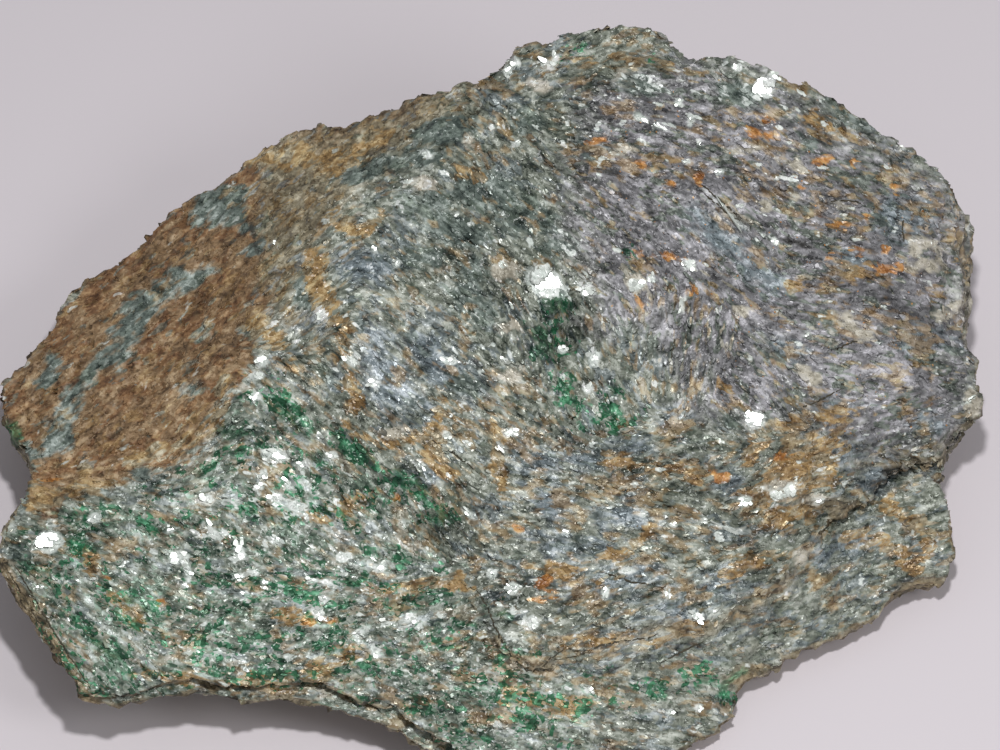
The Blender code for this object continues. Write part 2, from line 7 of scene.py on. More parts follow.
import bmesh
import bpy
import numpy as np
from bpy.props import FloatProperty, FloatVectorProperty, IntProperty, PointerProperty
from mathutils import Matrix, Vector

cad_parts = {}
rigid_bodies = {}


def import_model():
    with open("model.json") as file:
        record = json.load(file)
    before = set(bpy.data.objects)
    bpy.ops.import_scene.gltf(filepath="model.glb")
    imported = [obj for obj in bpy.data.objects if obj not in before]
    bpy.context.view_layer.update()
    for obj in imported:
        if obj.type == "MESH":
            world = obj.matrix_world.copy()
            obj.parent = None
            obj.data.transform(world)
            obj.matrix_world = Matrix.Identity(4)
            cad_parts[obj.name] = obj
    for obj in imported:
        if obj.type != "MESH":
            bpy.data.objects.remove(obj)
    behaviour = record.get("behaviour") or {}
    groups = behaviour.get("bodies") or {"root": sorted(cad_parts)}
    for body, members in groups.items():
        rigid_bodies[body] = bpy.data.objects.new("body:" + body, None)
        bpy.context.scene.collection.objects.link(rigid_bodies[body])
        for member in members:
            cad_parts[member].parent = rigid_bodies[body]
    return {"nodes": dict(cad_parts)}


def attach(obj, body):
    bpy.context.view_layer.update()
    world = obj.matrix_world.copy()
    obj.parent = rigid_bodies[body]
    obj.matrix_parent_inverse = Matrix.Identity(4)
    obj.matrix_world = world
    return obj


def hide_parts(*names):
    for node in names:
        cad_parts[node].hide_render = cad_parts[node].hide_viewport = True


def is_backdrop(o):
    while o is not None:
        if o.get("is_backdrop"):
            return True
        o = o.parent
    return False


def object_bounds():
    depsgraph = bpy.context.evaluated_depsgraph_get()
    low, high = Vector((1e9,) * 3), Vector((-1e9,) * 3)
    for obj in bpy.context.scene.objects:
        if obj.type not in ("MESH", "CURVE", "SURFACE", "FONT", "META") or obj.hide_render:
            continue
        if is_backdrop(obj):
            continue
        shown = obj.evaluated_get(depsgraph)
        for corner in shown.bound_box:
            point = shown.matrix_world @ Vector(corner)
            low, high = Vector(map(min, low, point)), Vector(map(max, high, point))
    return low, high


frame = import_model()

bl_info = {
    "name": "Mica Schist Specimen",
    "version": (1, 0, 0),
    "blender": (4, 5, 0),
    "location": "View3D > Sidebar > Mica",
    "description": "Dresses a block of chrome-mica schist with its skin, leaves and finish",
    "category": "Object",
}

CAD_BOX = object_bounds()
NODE = "mica_crystal"
BODY = "root"
MM = 0.001

# Places on the rock are given on a plane that leans back, as it lies before its owner: across
# and up, in millimetres.
LEAN = math.radians(55)
MIDDLE_ACROSS = 0.4
MIDDLE_BACK = 1.0
VIEW = Vector((0.0, -math.cos(LEAN), math.sin(LEAN)))

# Closed outlines on that plane.
WEATHERED_FACE = (
    (-67, 12), (-60, 21), (-51, 31), (-39, 41), (-25.5, 48.5), (-12, 52.5), (-4.5, 54.5),
    (-5, 51.5), (-13, 46), (-21, 38.5), (-26.5, 27.5), (-30.5, 20.5), (-32.5, 15.5), (-34, 11.5),
    (-38.5, 5), (-41.5, 2.5), (-46, 1), (-51, 0), (-55, -2), (-58, -4), (-61.5, -3.5), (-63, 0.5),
    (-67, 3),
)
OLIVE_SHOULDER = (
    (-30.5, 46), (-4.5, 54), (-3, 50), (-9.5, 44.5), (-17.5, 39.5), (-22.5, 32.5), (-25, 22),
    (-28, 20.5), (-30.5, 26), (-32, 31.5), (-32, 39.5),
)
BLUE_PATCH = (
    (-40.5, 35), (-39.5, 39.5), (-36, 40.5), (-33, 39.5), (-32, 33), (-34, 34.5), (-37, 35),
)
CLEAVED_FACE = (
    (-32.5, 15.5), (-27, 11), (-21.5, 6), (-12, -0.5), (-5.5, -10), (-0.5, -15.5), (6.5, -23.5),
    (14.5, -27.5), (12, -36.5), (-7, -36.5), (-14.5, -29.5), (-41.5, -27.5), (-53, -30.5),
    (-65.5, -14), (-67, -6), (-61.5, -3.5), (-58, -4), (-55, -2), (-51, 0), (-46, 1),
    (-41.5, 2.5), (-38.5, 5), (-34, 11.5),
)
DOME = (
    (13, 51.5), (25, 57.5), (38.5, 52), (52, 45.5), (63, 38), (66, 19.5), (62, 6), (50.5, 1.5),
    (40, 7.5), (28, 7.5), (22.5, 16.5), (14.5, 20.5), (10.5, 31.5), (9, 40.5),
)

# Stretches of rim drawn in: across, up, reach each way, and the shift across and up.
RIM_SHIFTS = (
    (65, 31, 8, 14, -1.7, 0), (63.5, 3.5, 7, 6, -1.2, 0.6), (53, -1.5, 9, 7.5, -0.4, 2.4),
    (43, -6.5, 8, 6, 0, 1.9), (-51.5, -29, 5, 4, -1.8, 0.6), (57.5, -17, 8, 5.5, -0.3, 2),
    (34, -29, 6, 6, -1.2, 0.8), (-61, 19.5, 9, 8, 0.8, -0.8),
)

# Bands that follow a line: across, up and half the width.
BLUE_STRIPE = (
    ((-37.5, 28.8, 0.9), (-40.5, 27, 1.1), (-43.5, 25.6, 1.6), (-46.8, 24, 1.8),
     (-48.6, 21, 1.7), (-49.6, 18, 1.8), (-52.8, 15.6, 1.1), (-55.3, 12.8, 1.2),
     (-57.2, 8.8, 1.6), (-57.2, 5, 1.4)),
)
OCHRE_SEAMS = (
    ((-19.5, 8, 0.5), (-17, 6.5, 0.5), (-14, 5.5, 0.5), (-8, 7, 0.6), (-6.5, 9, 0.8)),
    ((-19.5, 20.5, 0.8), (-19, 14, 1), (-18, 11, 0.8)),
    ((-7, 12.5, 0.5), (-5.5, 10, 0.8), (-5, 8.5, 1), (-8, 4.5, 1.2), (-5, 1.5, 0.7)),
    ((0.5, 8.5, 0.5), (0.5, 3, 1), (1.5, 0.5, 0.7)),
    ((15.5, 3, 0.9), (22, 2.5, 1.1), (28, 1.5, 0.8)), ((34, 3, 1.1), (36.5, 6.5, 1.1)),
    ((27.5, 16, 0.6), (31, 13, 0.8)), ((-33.5, 22, 0.9), (-28.5, 20, 1.3), (-26, 16, 0.9)),
    ((42.5, 6.2, 0.9), (46.5, 5.5, 0.8)), ((47, -6.5, 0.9), (52, -7, 1.2), (56.5, -10.5, 1)),
    ((30.5, -12.5, 0.8), (36.5, -9.5, 0.9)), ((5, -10.5, 0.5), (14, -12.5, 0.8)),
    ((2, -28, 1), (8, -28.5, 1.1), (12, -29.5, 0.8)),
    ((-54, -8.5, 0.6), (-49, -15, 0.9), (-45.5, -18, 0.8)),
    ((-25, -4, 0.7), (-20, -3, 0.8), (-15.5, -1, 0.6)), ((44, 34, 0.6), (49, 34.5, 0.7)),
    ((6, 55, 0.7), (10, 57.5, 0.8)), ((36, -1.5, 1.5), (40.5, -0.5, 1.7), (45, 0.5, 1)),
    ((-46, -24.5, 0.6), (-36, -26, 0.9), (-26, -25.5, 1), (-19, -22.5, 1.3)),
    ((-28, -16.5, 0.7), (-23.5, -17, 0.9)),
    ((12.4, -10.7, 0.2), (16, -9.2, 0.3), (19.7, -7.1, 0.3), (21, -5.3, 0.2)),
    ((-14, -13.5, 0.5), (-8, -12.6, 0.6), (-4.5, -12.2, 0.5)),
    ((9.5, -21, 0.5), (16, -20.5, 0.6), (24, -19.5, 0.8), (33, -17.5, 0.4)),
    ((34.5, -1, 1.2), (38, 2, 1.8), (43, 3.5, 1.6), (46, 1, 0.8)), ((36, -4, 1), (42, -3.5, 1)),
    ((35, 6.5, 0.7), (41, 8.5, 0.8), (50, 9.5, 0.5)),
    ((53, -3, 0.7), (56.5, -5, 0.9), (58, -8, 0.6)),
    ((-47, 3.5, 0.9), (-42, 4.5, 0.9), (-36.5, 9.5, 1.2), (-35, 13, 1)),
    ((-60, -2, 1.4), (-57, -1.5, 1.4), (-54, 1, 1)),
    ((-33, 43.5, 1), (-27, 44.5, 1.6), (-21, 43.5, 1.6), (-14, 47, 1.2)),
    ((-20, 34, 1.4), (-16.5, 33.5, 1.2), (-14.5, 36, 0.9)),
    ((-23.5, 30, 1.4), (-22, 24, 1.2), (-20, 21.5, 0.9)), ((-4, 41.5, 0.7), (-1, 41.5, 0.5)),
    ((12, 56.5, 0.6), (18, 57, 0.7), (24, 56, 0.4)), ((42.5, 48.5, 1.2), (46.5, 47, 0.9)),
    ((-8, -12, 0.5), (-4.5, -12.8, 0.6), (-2, -14, 0.5)),
    ((40, 26.5, 0.3), (45.5, 26.5, 0.3), (50, 28.5, 0.4)),
)
EMERALD_BANDS = (
    ((-31.5, 15, 0.8), (-27.5, 11, 2.2), (-23.5, 7.5, 2), (-17.5, 4, 2.2), (-12, 0.5, 1.6),
     (-7, -3.5, 1.8)),
)
BROKEN_EDGE = (
    ((-65, -10.5, 1.4), (-62, -15.2, 1.6), (-59, -20, 1.8), (-55.8, -25, 1.8),
     (-53.2, -28.4, 1.5)),
)
# Cracks painted near black: painted shade inside them.
CRACK_SHADOWS = (
    ((-32.5, 36, 0.3), (-31.5, 32, 0.3), (-30.5, 29.5, 0.3)), ((54, 36.5, 0.3), (54.5, 32.5, 0.3)),
    ((30, 38, 0.2), (34.5, 34, 0.2)), ((39, 32.5, 0.3), (42.5, 31.5, 0.2)),
    ((14.5, -24.5, 0.2), (21, -22.5, 0.2)),
    ((-1.9, -15, 0.2), (-0.8, -17.5, 0.3), (0.6, -20.6, 0.4), (2.6, -23.3, 0.3),
     (4.8, -24.9, 0.2)),
)

# Thin dark strips of painted shadow where one plate ends on another: across and up.
PLATE_EDGE_SHADOWS = (
    ((-3.9, -12.6), (-1.6, -13.9), (-0.3, -16.2), (1.1, -19.8), (2.9, -22.5), (4.7, -24.2),
     (6.5, -23.9), (7.9, -22.5), (10.5, -20.7)),
    ((14.2, -11.2), (18.8, -12.6), (22.8, -13)),
    ((8.2, -22.8), (11.2, -22.4), (14.2, -21), (17.2, -20.3), (20.9, -19.9), (22.8, -19.1)),
    ((22.4, -23.2), (25.4, -21.7), (28.4, -20.2)), ((27.9, 39), (30.5, 36.8), (33.5, 34.6)),
    ((-8, 6.2), (-4.5, 4), (-1.5, 1.5)), ((39, 9.5), (43, 11), (47, 13)),
    ((24.3, 19.5), (23.9, 17.5), (23.6, 15.8)), ((45.5, 17.8), (47, 18.6), (49, 19.2)),
    ((45, 37.6), (47.5, 37.7), (50, 37.3)), ((55, 35.5), (54.7, 33.8), (55, 32)),
    ((28, 39.9), (30.5, 37.6), (33.5, 35)),
    ((-64.4, -11.9), (-61.9, -16), (-59.3, -20.4), (-56.2, -25.2), (-53.9, -28.2)),
    ((-63.9, -10.8), (-61.3, -14.9), (-58.5, -19.5), (-55.2, -24.5), (-52.9, -27.6)),
    ((-63, -10.2), (-60.4, -14.2), (-57.6, -18.9), (-54.2, -23.9), (-52.1, -26.9)),
)

# Patches: across, up, half the length, half the width, and any turn in degrees.
EMERALD_PATCHES = (
    (-28.5, 14.5, 1.4, 1.1), (-32, 11.5, 2.3, 1.5, -30), (-27, 11, 3, 1.6, -25),
    (-33.5, 7.5, 3.4, 1.6, 15), (-28.5, 7, 2.8, 1.7), (-22, 6, 3.2, 1.4, -20),
    (-17, 4.5, 3.9, 2.1, -25), (-11.5, 1, 3, 1.4, -50), (-18.5, 1.5, 2.5, 1.4, -10),
    (-22.5, 3, 1.6, 2.1), (-33, 2, 2.8, 1.8, -30), (-37.5, 1.5, 1.6, 1.1),
    (-32, -3.5, 1.5, 2.2, -30), (-27, -4.5, 1.8, 1.1), (-34, -6, 3.4, 1.3, -10),
    (-19, -5, 2.8, 1.7), (-13.5, -2.5, 2.1, 1.6), (-7, -3.5, 3.7, 2.3, -20), (-11, -9, 2, 1),
    (-31.5, -13.5, 2.4, 1.4), (-18, -11, 2.4, 1.6), (-6, -11, 1.2, 2.2, -55), (-7, -14.5, 1.8, 1),
    (-62, -9, 2.4, 1.8, -30), (-55, -4.5, 3, 1.2, -10), (-54, -7, 3, 1.8, -20),
    (-50.5, -10.5, 2, 1.4), (-48.5, -6, 1.6, 2, -30), (-44, -7, 1.8, 1.8), (-45, -2, 3.4, 0.9),
    (-57, -16.5, 2.4, 1.6, -35), (-48, -14, 1.6, 1, -50), (-54, -20, 2, 1, -30),
    (-48.5, -23.5, 2.9, 1.1, -40), (-38.5, -17.5, 1.4, 1.4), (-36.5, -21, 2.4, 1, -20),
    (-45, -15.8, 1.1, 1), (1.5, -17, 1.6, 1.4), (3.3, -9, 1.6, 1.2), (5, -21.5, 2.6, 1.4),
    (15, -26.5, 4.2, 1.4, -30), (22.5, -28, 2.4, 1.4), (27.5, -26.5, 1.6, 1.4),
    (31, -27.5, 1.8, 1.5), (32, -25.3, 2.4, 0.9), (15, -24, 1.4, 0.9), (-1, -27, 3, 1.4),
    (2.5, -32, 2.4, 1.4), (-2, -18.5, 2, 1.4), (20, 8.5, 4, 1.4), (16.3, 12.5, 1.8, 1.4),
    (9, 16.5, 3.4, 1.5), (8.2, 23.8, 2.2, 1.5), (10.8, 24.2, 1.8, 1.1), (6.5, 20.2, 1.7, 1.5),
    (7, 18, 2.1, 1.6, 30), (18, 31, 1.8, 0.8), (13, 58, 3, 1.3), (21.5, 58.5, 2.4, 1.2, -20),
    (-64, 7, 1.6, 1.8), (11, 11, 3.4, 2.3), (12, 8, 2.9, 1.4), (25, -26, 9, 2.6, 10),
    (9, 22.8, 3.9, 2.8), (-4, -24, 6, 2.5, -10), (4, -30, 6, 2), (9, 18, 4, 3),
    (-29, 10.5, 4, 2.8, -35), (-24.5, 7.5, 3.4, 2.1, -40), (-18.9, 5.4, 4, 1.6, -38),
    (-10.5, 0.5, 3.9, 1.6, -45), (-31.3, -2.6, 1.8, 1.4), (-6.5, -20, 4, 2.4, -20),
    (-9, -24.5, 5, 2, -20), (-28, 6.5, 4, 3), (-34, -4.5, 5, 3), (-14, -1, 3.4, 3.4),
    (-17.5, -12, 4, 2.4), (-42, -8, 3.5, 1.6), (-10, -25, 5, 3), (17, -28, 4, 2, -20),
    (16, 9.5, 3.4, 3.4), (9.5, 14, 2.9, 2.9), (5, -32.5, 3, 1.4),
)
DEEP_PATCHES = (
    (-28, 11, 1.2, 0.9, -25), (-17.5, 4, 2.2, 1, -25), (-11.5, 1, 1.7, 0.8, -50),
    (-6.5, -4.2, 1.6, 1.2, -20), (8.6, 23.9, 1.4, 0.9), (6.6, 20, 1, 0.9), (7, 18, 1.5, 1, 30),
    (-45, -15.9, 0.8, 0.8), (-32, -3.6, 0.9, 1.2, -30), (-22.5, 3.2, 0.8, 1.2),
    (-37.5, 1.5, 0.9, 0.6), (-61, -10.5, 1.6, 0.8, -20), (-55.5, -4.2, 1.6, 0.6, -20),
    (-54, -7.5, 1.6, 1, -20), (1.5, -17, 1, 0.7), (-49, -23, 2, 0.6, -40), (-33, 7, 1.8, 0.7, 15),
    (-64, 6.5, 1.3, 1.6), (16.3, 12.5, 0.9, 0.7), (9.6, 24.4, 1.2, 0.8, -30),
    (30.6, -27.2, 0.8, 1), (27.6, -25.8, 0.9, 0.6), (22.6, -27.6, 0.8, 0.8),
    (32.3, -25, 1.2, 0.5, 20), (-47.6, -15.3, 0.7, 0.7), (-52.5, -20, 1.2, 0.5, -30),
    (-38.5, -12.3, 0.6, 0.5), (-25.8, 8.6, 1.8, 0.9, -35), (-10.4, 0.4, 2, 0.7, -45),
    (-35.2, 7.4, 1.2, 0.5, 10), (-20.5, 6.8, 1.4, 0.7, -40),
)
RUST_PATCHES = (
    (14.5, 46, 1.1, 0.4, 10), (19.8, 42.5, 0.5, 0.4), (24, 40, 0.8, 0.6), (27.6, 41, 0.4, 0.6),
    (23, 30.4, 1.4, 0.4, -12), (19.5, 31, 0.9, 0.4), (35, 47, 0.8, 0.4, -30),
    (37.2, 46.5, 0.6, 0.4), (37, 48.8, 0.5, 0.4), (44.5, 43.2, 0.9, 0.4, 15),
    (48.5, 43, 0.5, 0.4), (41.5, 39.5, 0.6, 0.5), (43.8, 35.7, 0.6, 0.4, -20),
    (46.8, 34.2, 1.4, 0.4, -5), (50, 35.2, 0.6, 0.5, 40), (52.5, 31, 0.5, 0.5),
    (52.6, 28.8, 1.5, 0.6, 5), (54, 39.5, 0.4, 0.4), (45, 30, 0.4, 0.4), (49, 31, 0.4, 0.4),
    (27, 26, 0.9, 0.4, 20), (19.7, 24, 0.7, 0.4, -40), (-24, -18, 0.8, 0.6, -10),
    (-43.3, -15.4, 0.4, 0.4), (-12.5, -1.5, 0.6, 0.4), (-50.8, -12.5, 0.6, 0.4),
    (3.5, -5.6, 0.5, 0.4), (-58, 1, 1.2, 0.6), (30, 1.2, 0.9, 0.5), (38.5, 4, 1.2, 0.5, 10),
    (6.9, -12.6, 1, 0.9, -30), (7.9, -13.8, 0.9, 0.6, -40), (6.4, -15, 0.7, 0.4),
    (-20, -17.5, 1.4, 0.6, -10),
)
CREAM_PATCHES = (
    (58.5, 32, 2.2, 0.7, -15), (58, 29.2, 2, 1), (56.5, 31.3, 0.9, 1), (47.5, 21.7, 2, 0.9, -40),
    (50, 20.1, 1.6, 0.7, 10), (42, 14.5, 1.6, 0.9, -40), (40, 42.6, 1.8, 0.6, -25),
    (40.6, 38.2, 0.9, 0.6), (36.5, 37, 0.7, 0.6), (33, 23, 1, 0.5), (31.3, 36.2, 0.8, 1.2, -50),
    (62, 24, 1.2, 0.8, 20), (17.5, 44.3, 1.2, 0.6), (33.5, 44.5, 1.5, 0.5), (-9, 40, 1.9, 1),
    (-3, 45.8, 0.6, 0.7), (6, 53.3, 1.8, 1.2, -20), (2, 28.3, 1.9, 1.2),
    (17.3, 55, 0.6, 1.4, -50), (-12.5, 7, 1.3, 0.8), (38.5, -0.8, 2.2, 1.3),
    (43.3, -1.8, 1.6, 0.7), (64.3, 25, 0.7, 1.6), (19.2, 26.6, 1.4, 1.2), (-37.5, -1.7, 1.2, 0.8),
    (2.6, 20.8, 1.6, 0.8), (2.8, 14.5, 1.2, 1.6, -50), (41, -9.5, 0.8, 1.2, 20),
    (64.2, 11, 1.2, 1.8), (60.5, 22.5, 1.4, 0.9),
)
BLUE_PATCHES = (
    (-13.5, 15.5, 4.5, 2, -30), (-12, 12, 5, 2.2, -20), (-6, 15, 3.5, 2.5, -20),
    (-3, 13.5, 2.5, 2, -20), (-10, 18.5, 6, 1.6, -20), (-51.5, -24, 5, 3, -30),
    (-55, -17.5, 4.5, 1.2, -50), (-43, -21, 5, 2.6, -10), (-44, -0.5, 3.4, 0.9, -25),
    (5.5, 3, 3, 2.2, -10), (13, 3, 3, 1.6, -10), (8, -2, 3, 1.6, -10), (10, -7.5, 5, 1.6, -5),
    (26, -17, 4, 1.4, -20), (16, -12, 6, 2), (48.5, -7.5, 3.5, 2, 10), (52, 1.5, 3, 1.6, 30),
    (9, -30.5, 5, 2.5), (30, -13, 5, 2, 5), (-19, -9, 3, 1.6, -20), (57, 19.5, 4, 1.8, -15),
    (38, 18.5, 3, 1.5, -20), (30, 33.5, 4, 2, -30), (46.5, 4, 3, 1.5, 20), (-25, 22, 3.5, 2),
    (-16, 29, 4, 2.5), (54, 35, 3, 3), (36, 28, 3, 2, -40), (-53, -21.5, 2.5, 4, -30),
    (43.5, -9.5, 1.6, 1.6), (-20, 14, 2, 2), (20, 4.8, 3, 1), (57, 36, 2, 2), (-8, 9, 2, 1),
    (-7, 2, 1.8, 1.3), (5.5, 0, 1.6, 1.2), (31.5, 0.5, 1.8, 1.5), (18, -4, 3.4, 1.6),
    (24, 8, 2.2, 1.6), (46, 10, 3, 1), (57.5, 8, 1.6, 1.3), (26, -14, 3, 1.2),
    (20, -19.8, 6, 1, 5), (47, 29, 2.2, 1.3), (14, 45, 2, 1.5),
)
TEAL_PATCHES = (
    (-39.3, 12.5, 1.5, 0.7, 20), (-38.2, 20.2, 1, 0.8), (-32.2, 20.6, 1.6, 1.2),
    (-31.8, 31.5, 1.1, 1.4, -45), (-42, 29, 1, 0.7), (-50.1, 10.5, 0.7, 0.6),
    (-49.7, 15.4, 1, 0.8, -30), (-46, 1.8, 1.2, 1.2), (-61.5, 4.5, 1.6, 1.2, -40),
    (-16, 42.5, 4.5, 1.8, 10), (-9, 43.6, 3, 1.3), (-6, 47.5, 4, 1.8, 10),
    (-5, 34, 5.5, 2.4, -10), (-8, 30.3, 3.6, 1.3), (-2.5, 29, 3.2, 1.6), (4.5, 48.5, 2.6, 1.6),
    (-8, 37.5, 4, 1.5), (3, 34.5, 3, 1.4), (8, 31.5, 3, 1), (42.5, 46, 1.5, 0.8),
    (20, 53, 3, 1.2, -20), (33, 52, 3, 1.5, -20), (48, 49, 3, 1.4, -20), (2, 38.5, 2.5, 1.2),
    (-3.5, 13.5, 2.2, 1.4, -20), (31.5, 8.5, 1.4, 1.2, 40), (-24.5, 25.5, 2.2, 2.2),
    (-62, 3, 1.2, 1.6), (-62, -1.5, 1.3, 2.5), (-62.5, -9, 1.6, 1), (-53, -0.8, 2.6, 0.8),
    (-59, 15, 1.5, 2.5, -30), (-50, 19.5, 1.4, 2.2), (-23.5, 26.5, 1.6, 3), (-58.5, 6, 1.6, 3.4),
    (-1, 39, 5, 3, -30), (5, 36, 4, 2.5, -20), (-3, 24, 4, 2.5, -30),
)
# Where painted glints bunch: white flashes painted into the colour.
PAINTED_GLINT_PATCHES = (
    (-27.5, -2, 8, 8, -30), (-35, -10, 4, 5.3, -40), (-23, -16.5, 3.5, 2.7),
    (-16, 16.5, 4, 2.1, -30), (7, 26, 5.3, 2.7), (-1.5, 16.5, 2.7, 2.7), (4, -15.5, 2.7, 3.5),
    (9, 28.5, 8, 5.3), (20, 51.5, 8, 4, -10), (37, 52.5, 4, 1.6, -20), (-9.5, 40.5, 2.7, 1.6),
    (-1.5, 55.5, 4, 1.9, 20), (40.5, 0, 3.7, 2.1), (-8, -20.5, 8, 5.3), (-19, -10, 6.7, 5.3),
)
STAINED_PATCHES = (
    (15, -2, 22, 7), (40, 2, 9, 6, 15), (56, -9, 6, 7), (-4, 8, 9, 6, -30), (20, -14, 18, 6, 5),
    (-26, 22, 5, 12, 20), (-60, -2, 7, 3), (0, -25, 26, 7), (45, 40, 16, 9, -20), (55, 22, 8, 9),
    (22, 44, 10, 4, -5), (-38, -6, 22, 7), (-20, -18, 16, 7), (32, 14, 7, 5), (8, 55, 9, 3, 20),
)

# Painted shade and painted light, mixed with the rock's own darker and paler tone, over a few
# millimetres. The rock is painted darker for the shade of its relief, hollows and plate edges, and
# paler where its relief catches the light.
PAINTED_SHADE_PATCHES = (
    (-30, 7.5, 5, 1.5, -5), (-16.5, -0.5, 7, 2, -32), (-14, 7, 4.5, 1.3, -15), (-4, 29.5, 6, 2.5),
    (-3.5, 13, 2.5, 2.5, 50), (-19.5, 20, 1.5, 4), (-4.5, 43, 2.5, 2), (-13, 41.5, 3, 1.5),
    (0, 55, 1.5, 2), (14, 52.5, 4.5, 2, 5), (21.5, 54, 2, 1.5), (14, 61, 2, 1.5),
    (4, 34.5, 4, 1.5), (17.5, 37, 1.5, 1.5), (18.5, 31, 3.5, 2.5), (6, 18, 1.5, 4),
    (6.5, 10, 2, 2.5), (12, 6, 3, 2, -20), (32, 16, 3, 4), (31, 10, 1.5, 2), (43.5, 8.5, 2, 4),
    (52, 1.5, 3, 2.5, 30), (57, 20.5, 3.5, 2, -20), (61, 13, 1, 3), (56.5, 7, 1.5, 1.5),
    (53, 24, 4, 2), (56, 34, 1.5, 2.5), (48, 37.5, 2, 1), (46.5, 30, 2, 2), (40.5, 30, 1.5, 2),
    (43.5, 25.5, 1.5, 1), (45, 48, 3, 3), (38, 47.5, 1.5, 1), (37, 37.5, 2.5, 1.5),
    (38, -6.5, 2, 2), (35, -11, 3, 3), (54.5, -12, 2, 3), (46, -19, 1.5, 1),
    (-8, -14, 1.5, 3.5, 20), (-15, -17.5, 4.5, 1.5, -25), (-2, -21, 3, 2.5, 30), (-8, -25, 3, 3),
    (-4, -28, 3, 1.5, -15), (-40, -17.5, 2, 1.5), (-31, -17, 2, 1.5), (-26, -23, 2, 1.5),
    (-35, -26.5, 4, 1.5), (-57, -16, 2.5, 2), (-51.5, -11, 2, 2), (-56, -5, 1.5, 1.5),
    (-43, 1, 4, 2, 20), (-51, 7, 3, 2.5, -45), (-32.5, -5, 2, 1.5), (-24, -8, 1.5, 1.5),
    (-44.5, 28, 3, 2, 30), (10, 22, 4, 3), (9, 32, 5, 2, -10), (-2, 9, 3, 1.5, -20),
    (12, 12, 3, 2), (2, 26.5, 5, 3.5), (5.5, 30, 3, 2), (22, 29, 4, 2, -20),
    (17, 50.5, 5, 2, -10), (7, 42, 4, 1.5), (-40, -8, 5, 1.5, -10), (-29, -17, 3, 1.5),
    (1.5, -13, 2, 1.5), (-1.5, 16.5, 2, 2), (-44, -27, 5, 1.5), (28, 4, 5, 2.5, 10),
    (20, 3, 2, 2.5), (25, -1, 5, 2.5), (38, 2, 1.8, 4), (44, -4, 3, 1.5, 20),
    (-5, -6, 4, 2.6, -40), (2, -16.5, 2, 1.5), (5, -11.5, 1.5, 1), (-35, -7.5, 3, 1),
    (-34, -12, 1, 2.5), (31, 3, 1.5, 3), (39, 12, 1.5, 2), (-60.5, -9.5, 2, 1.5),
    (20, 28.5, 3, 2), (3.5, 8.5, 2, 1.5, -40), (-8, 4.5, 4, 1, -45), (50, 33.5, 3, 1.5),
    (57, 20, 2, 1.5), (-12.5, -19, 2, 1), (34, -3.5, 1.5, 2.5), (31, 4, 1.5, 3.5),
    (20, 1.5, 3, 2, -35), (12.5, 0.5, 2, 1.5), (-29, 3.5, 2, 1.8), (-51, -9, 2, 2.5),
    (-62, -7.5, 1.5, 2, 50), (6, 30, 1.2, 2.2, -30), (20, 28, 2.5, 1.8, -30), (-4, 27, 1.5, 2.5),
    (14, 42, 1.2, 1.5), (1.5, 56, 2, 1.2), (-13, 16.5, 1.5, 1.5, -40), (28.5, -27.5, 1.2, 1.8),
    (22, -13, 2, 1.5), (13, -16, 1.2, 2), (-36, -6.5, 3, 1, -20), (10, 50, 1, 3),
    (27, 41, 2.5, 1.5), (7.5, 18, 2, 2.4),
)
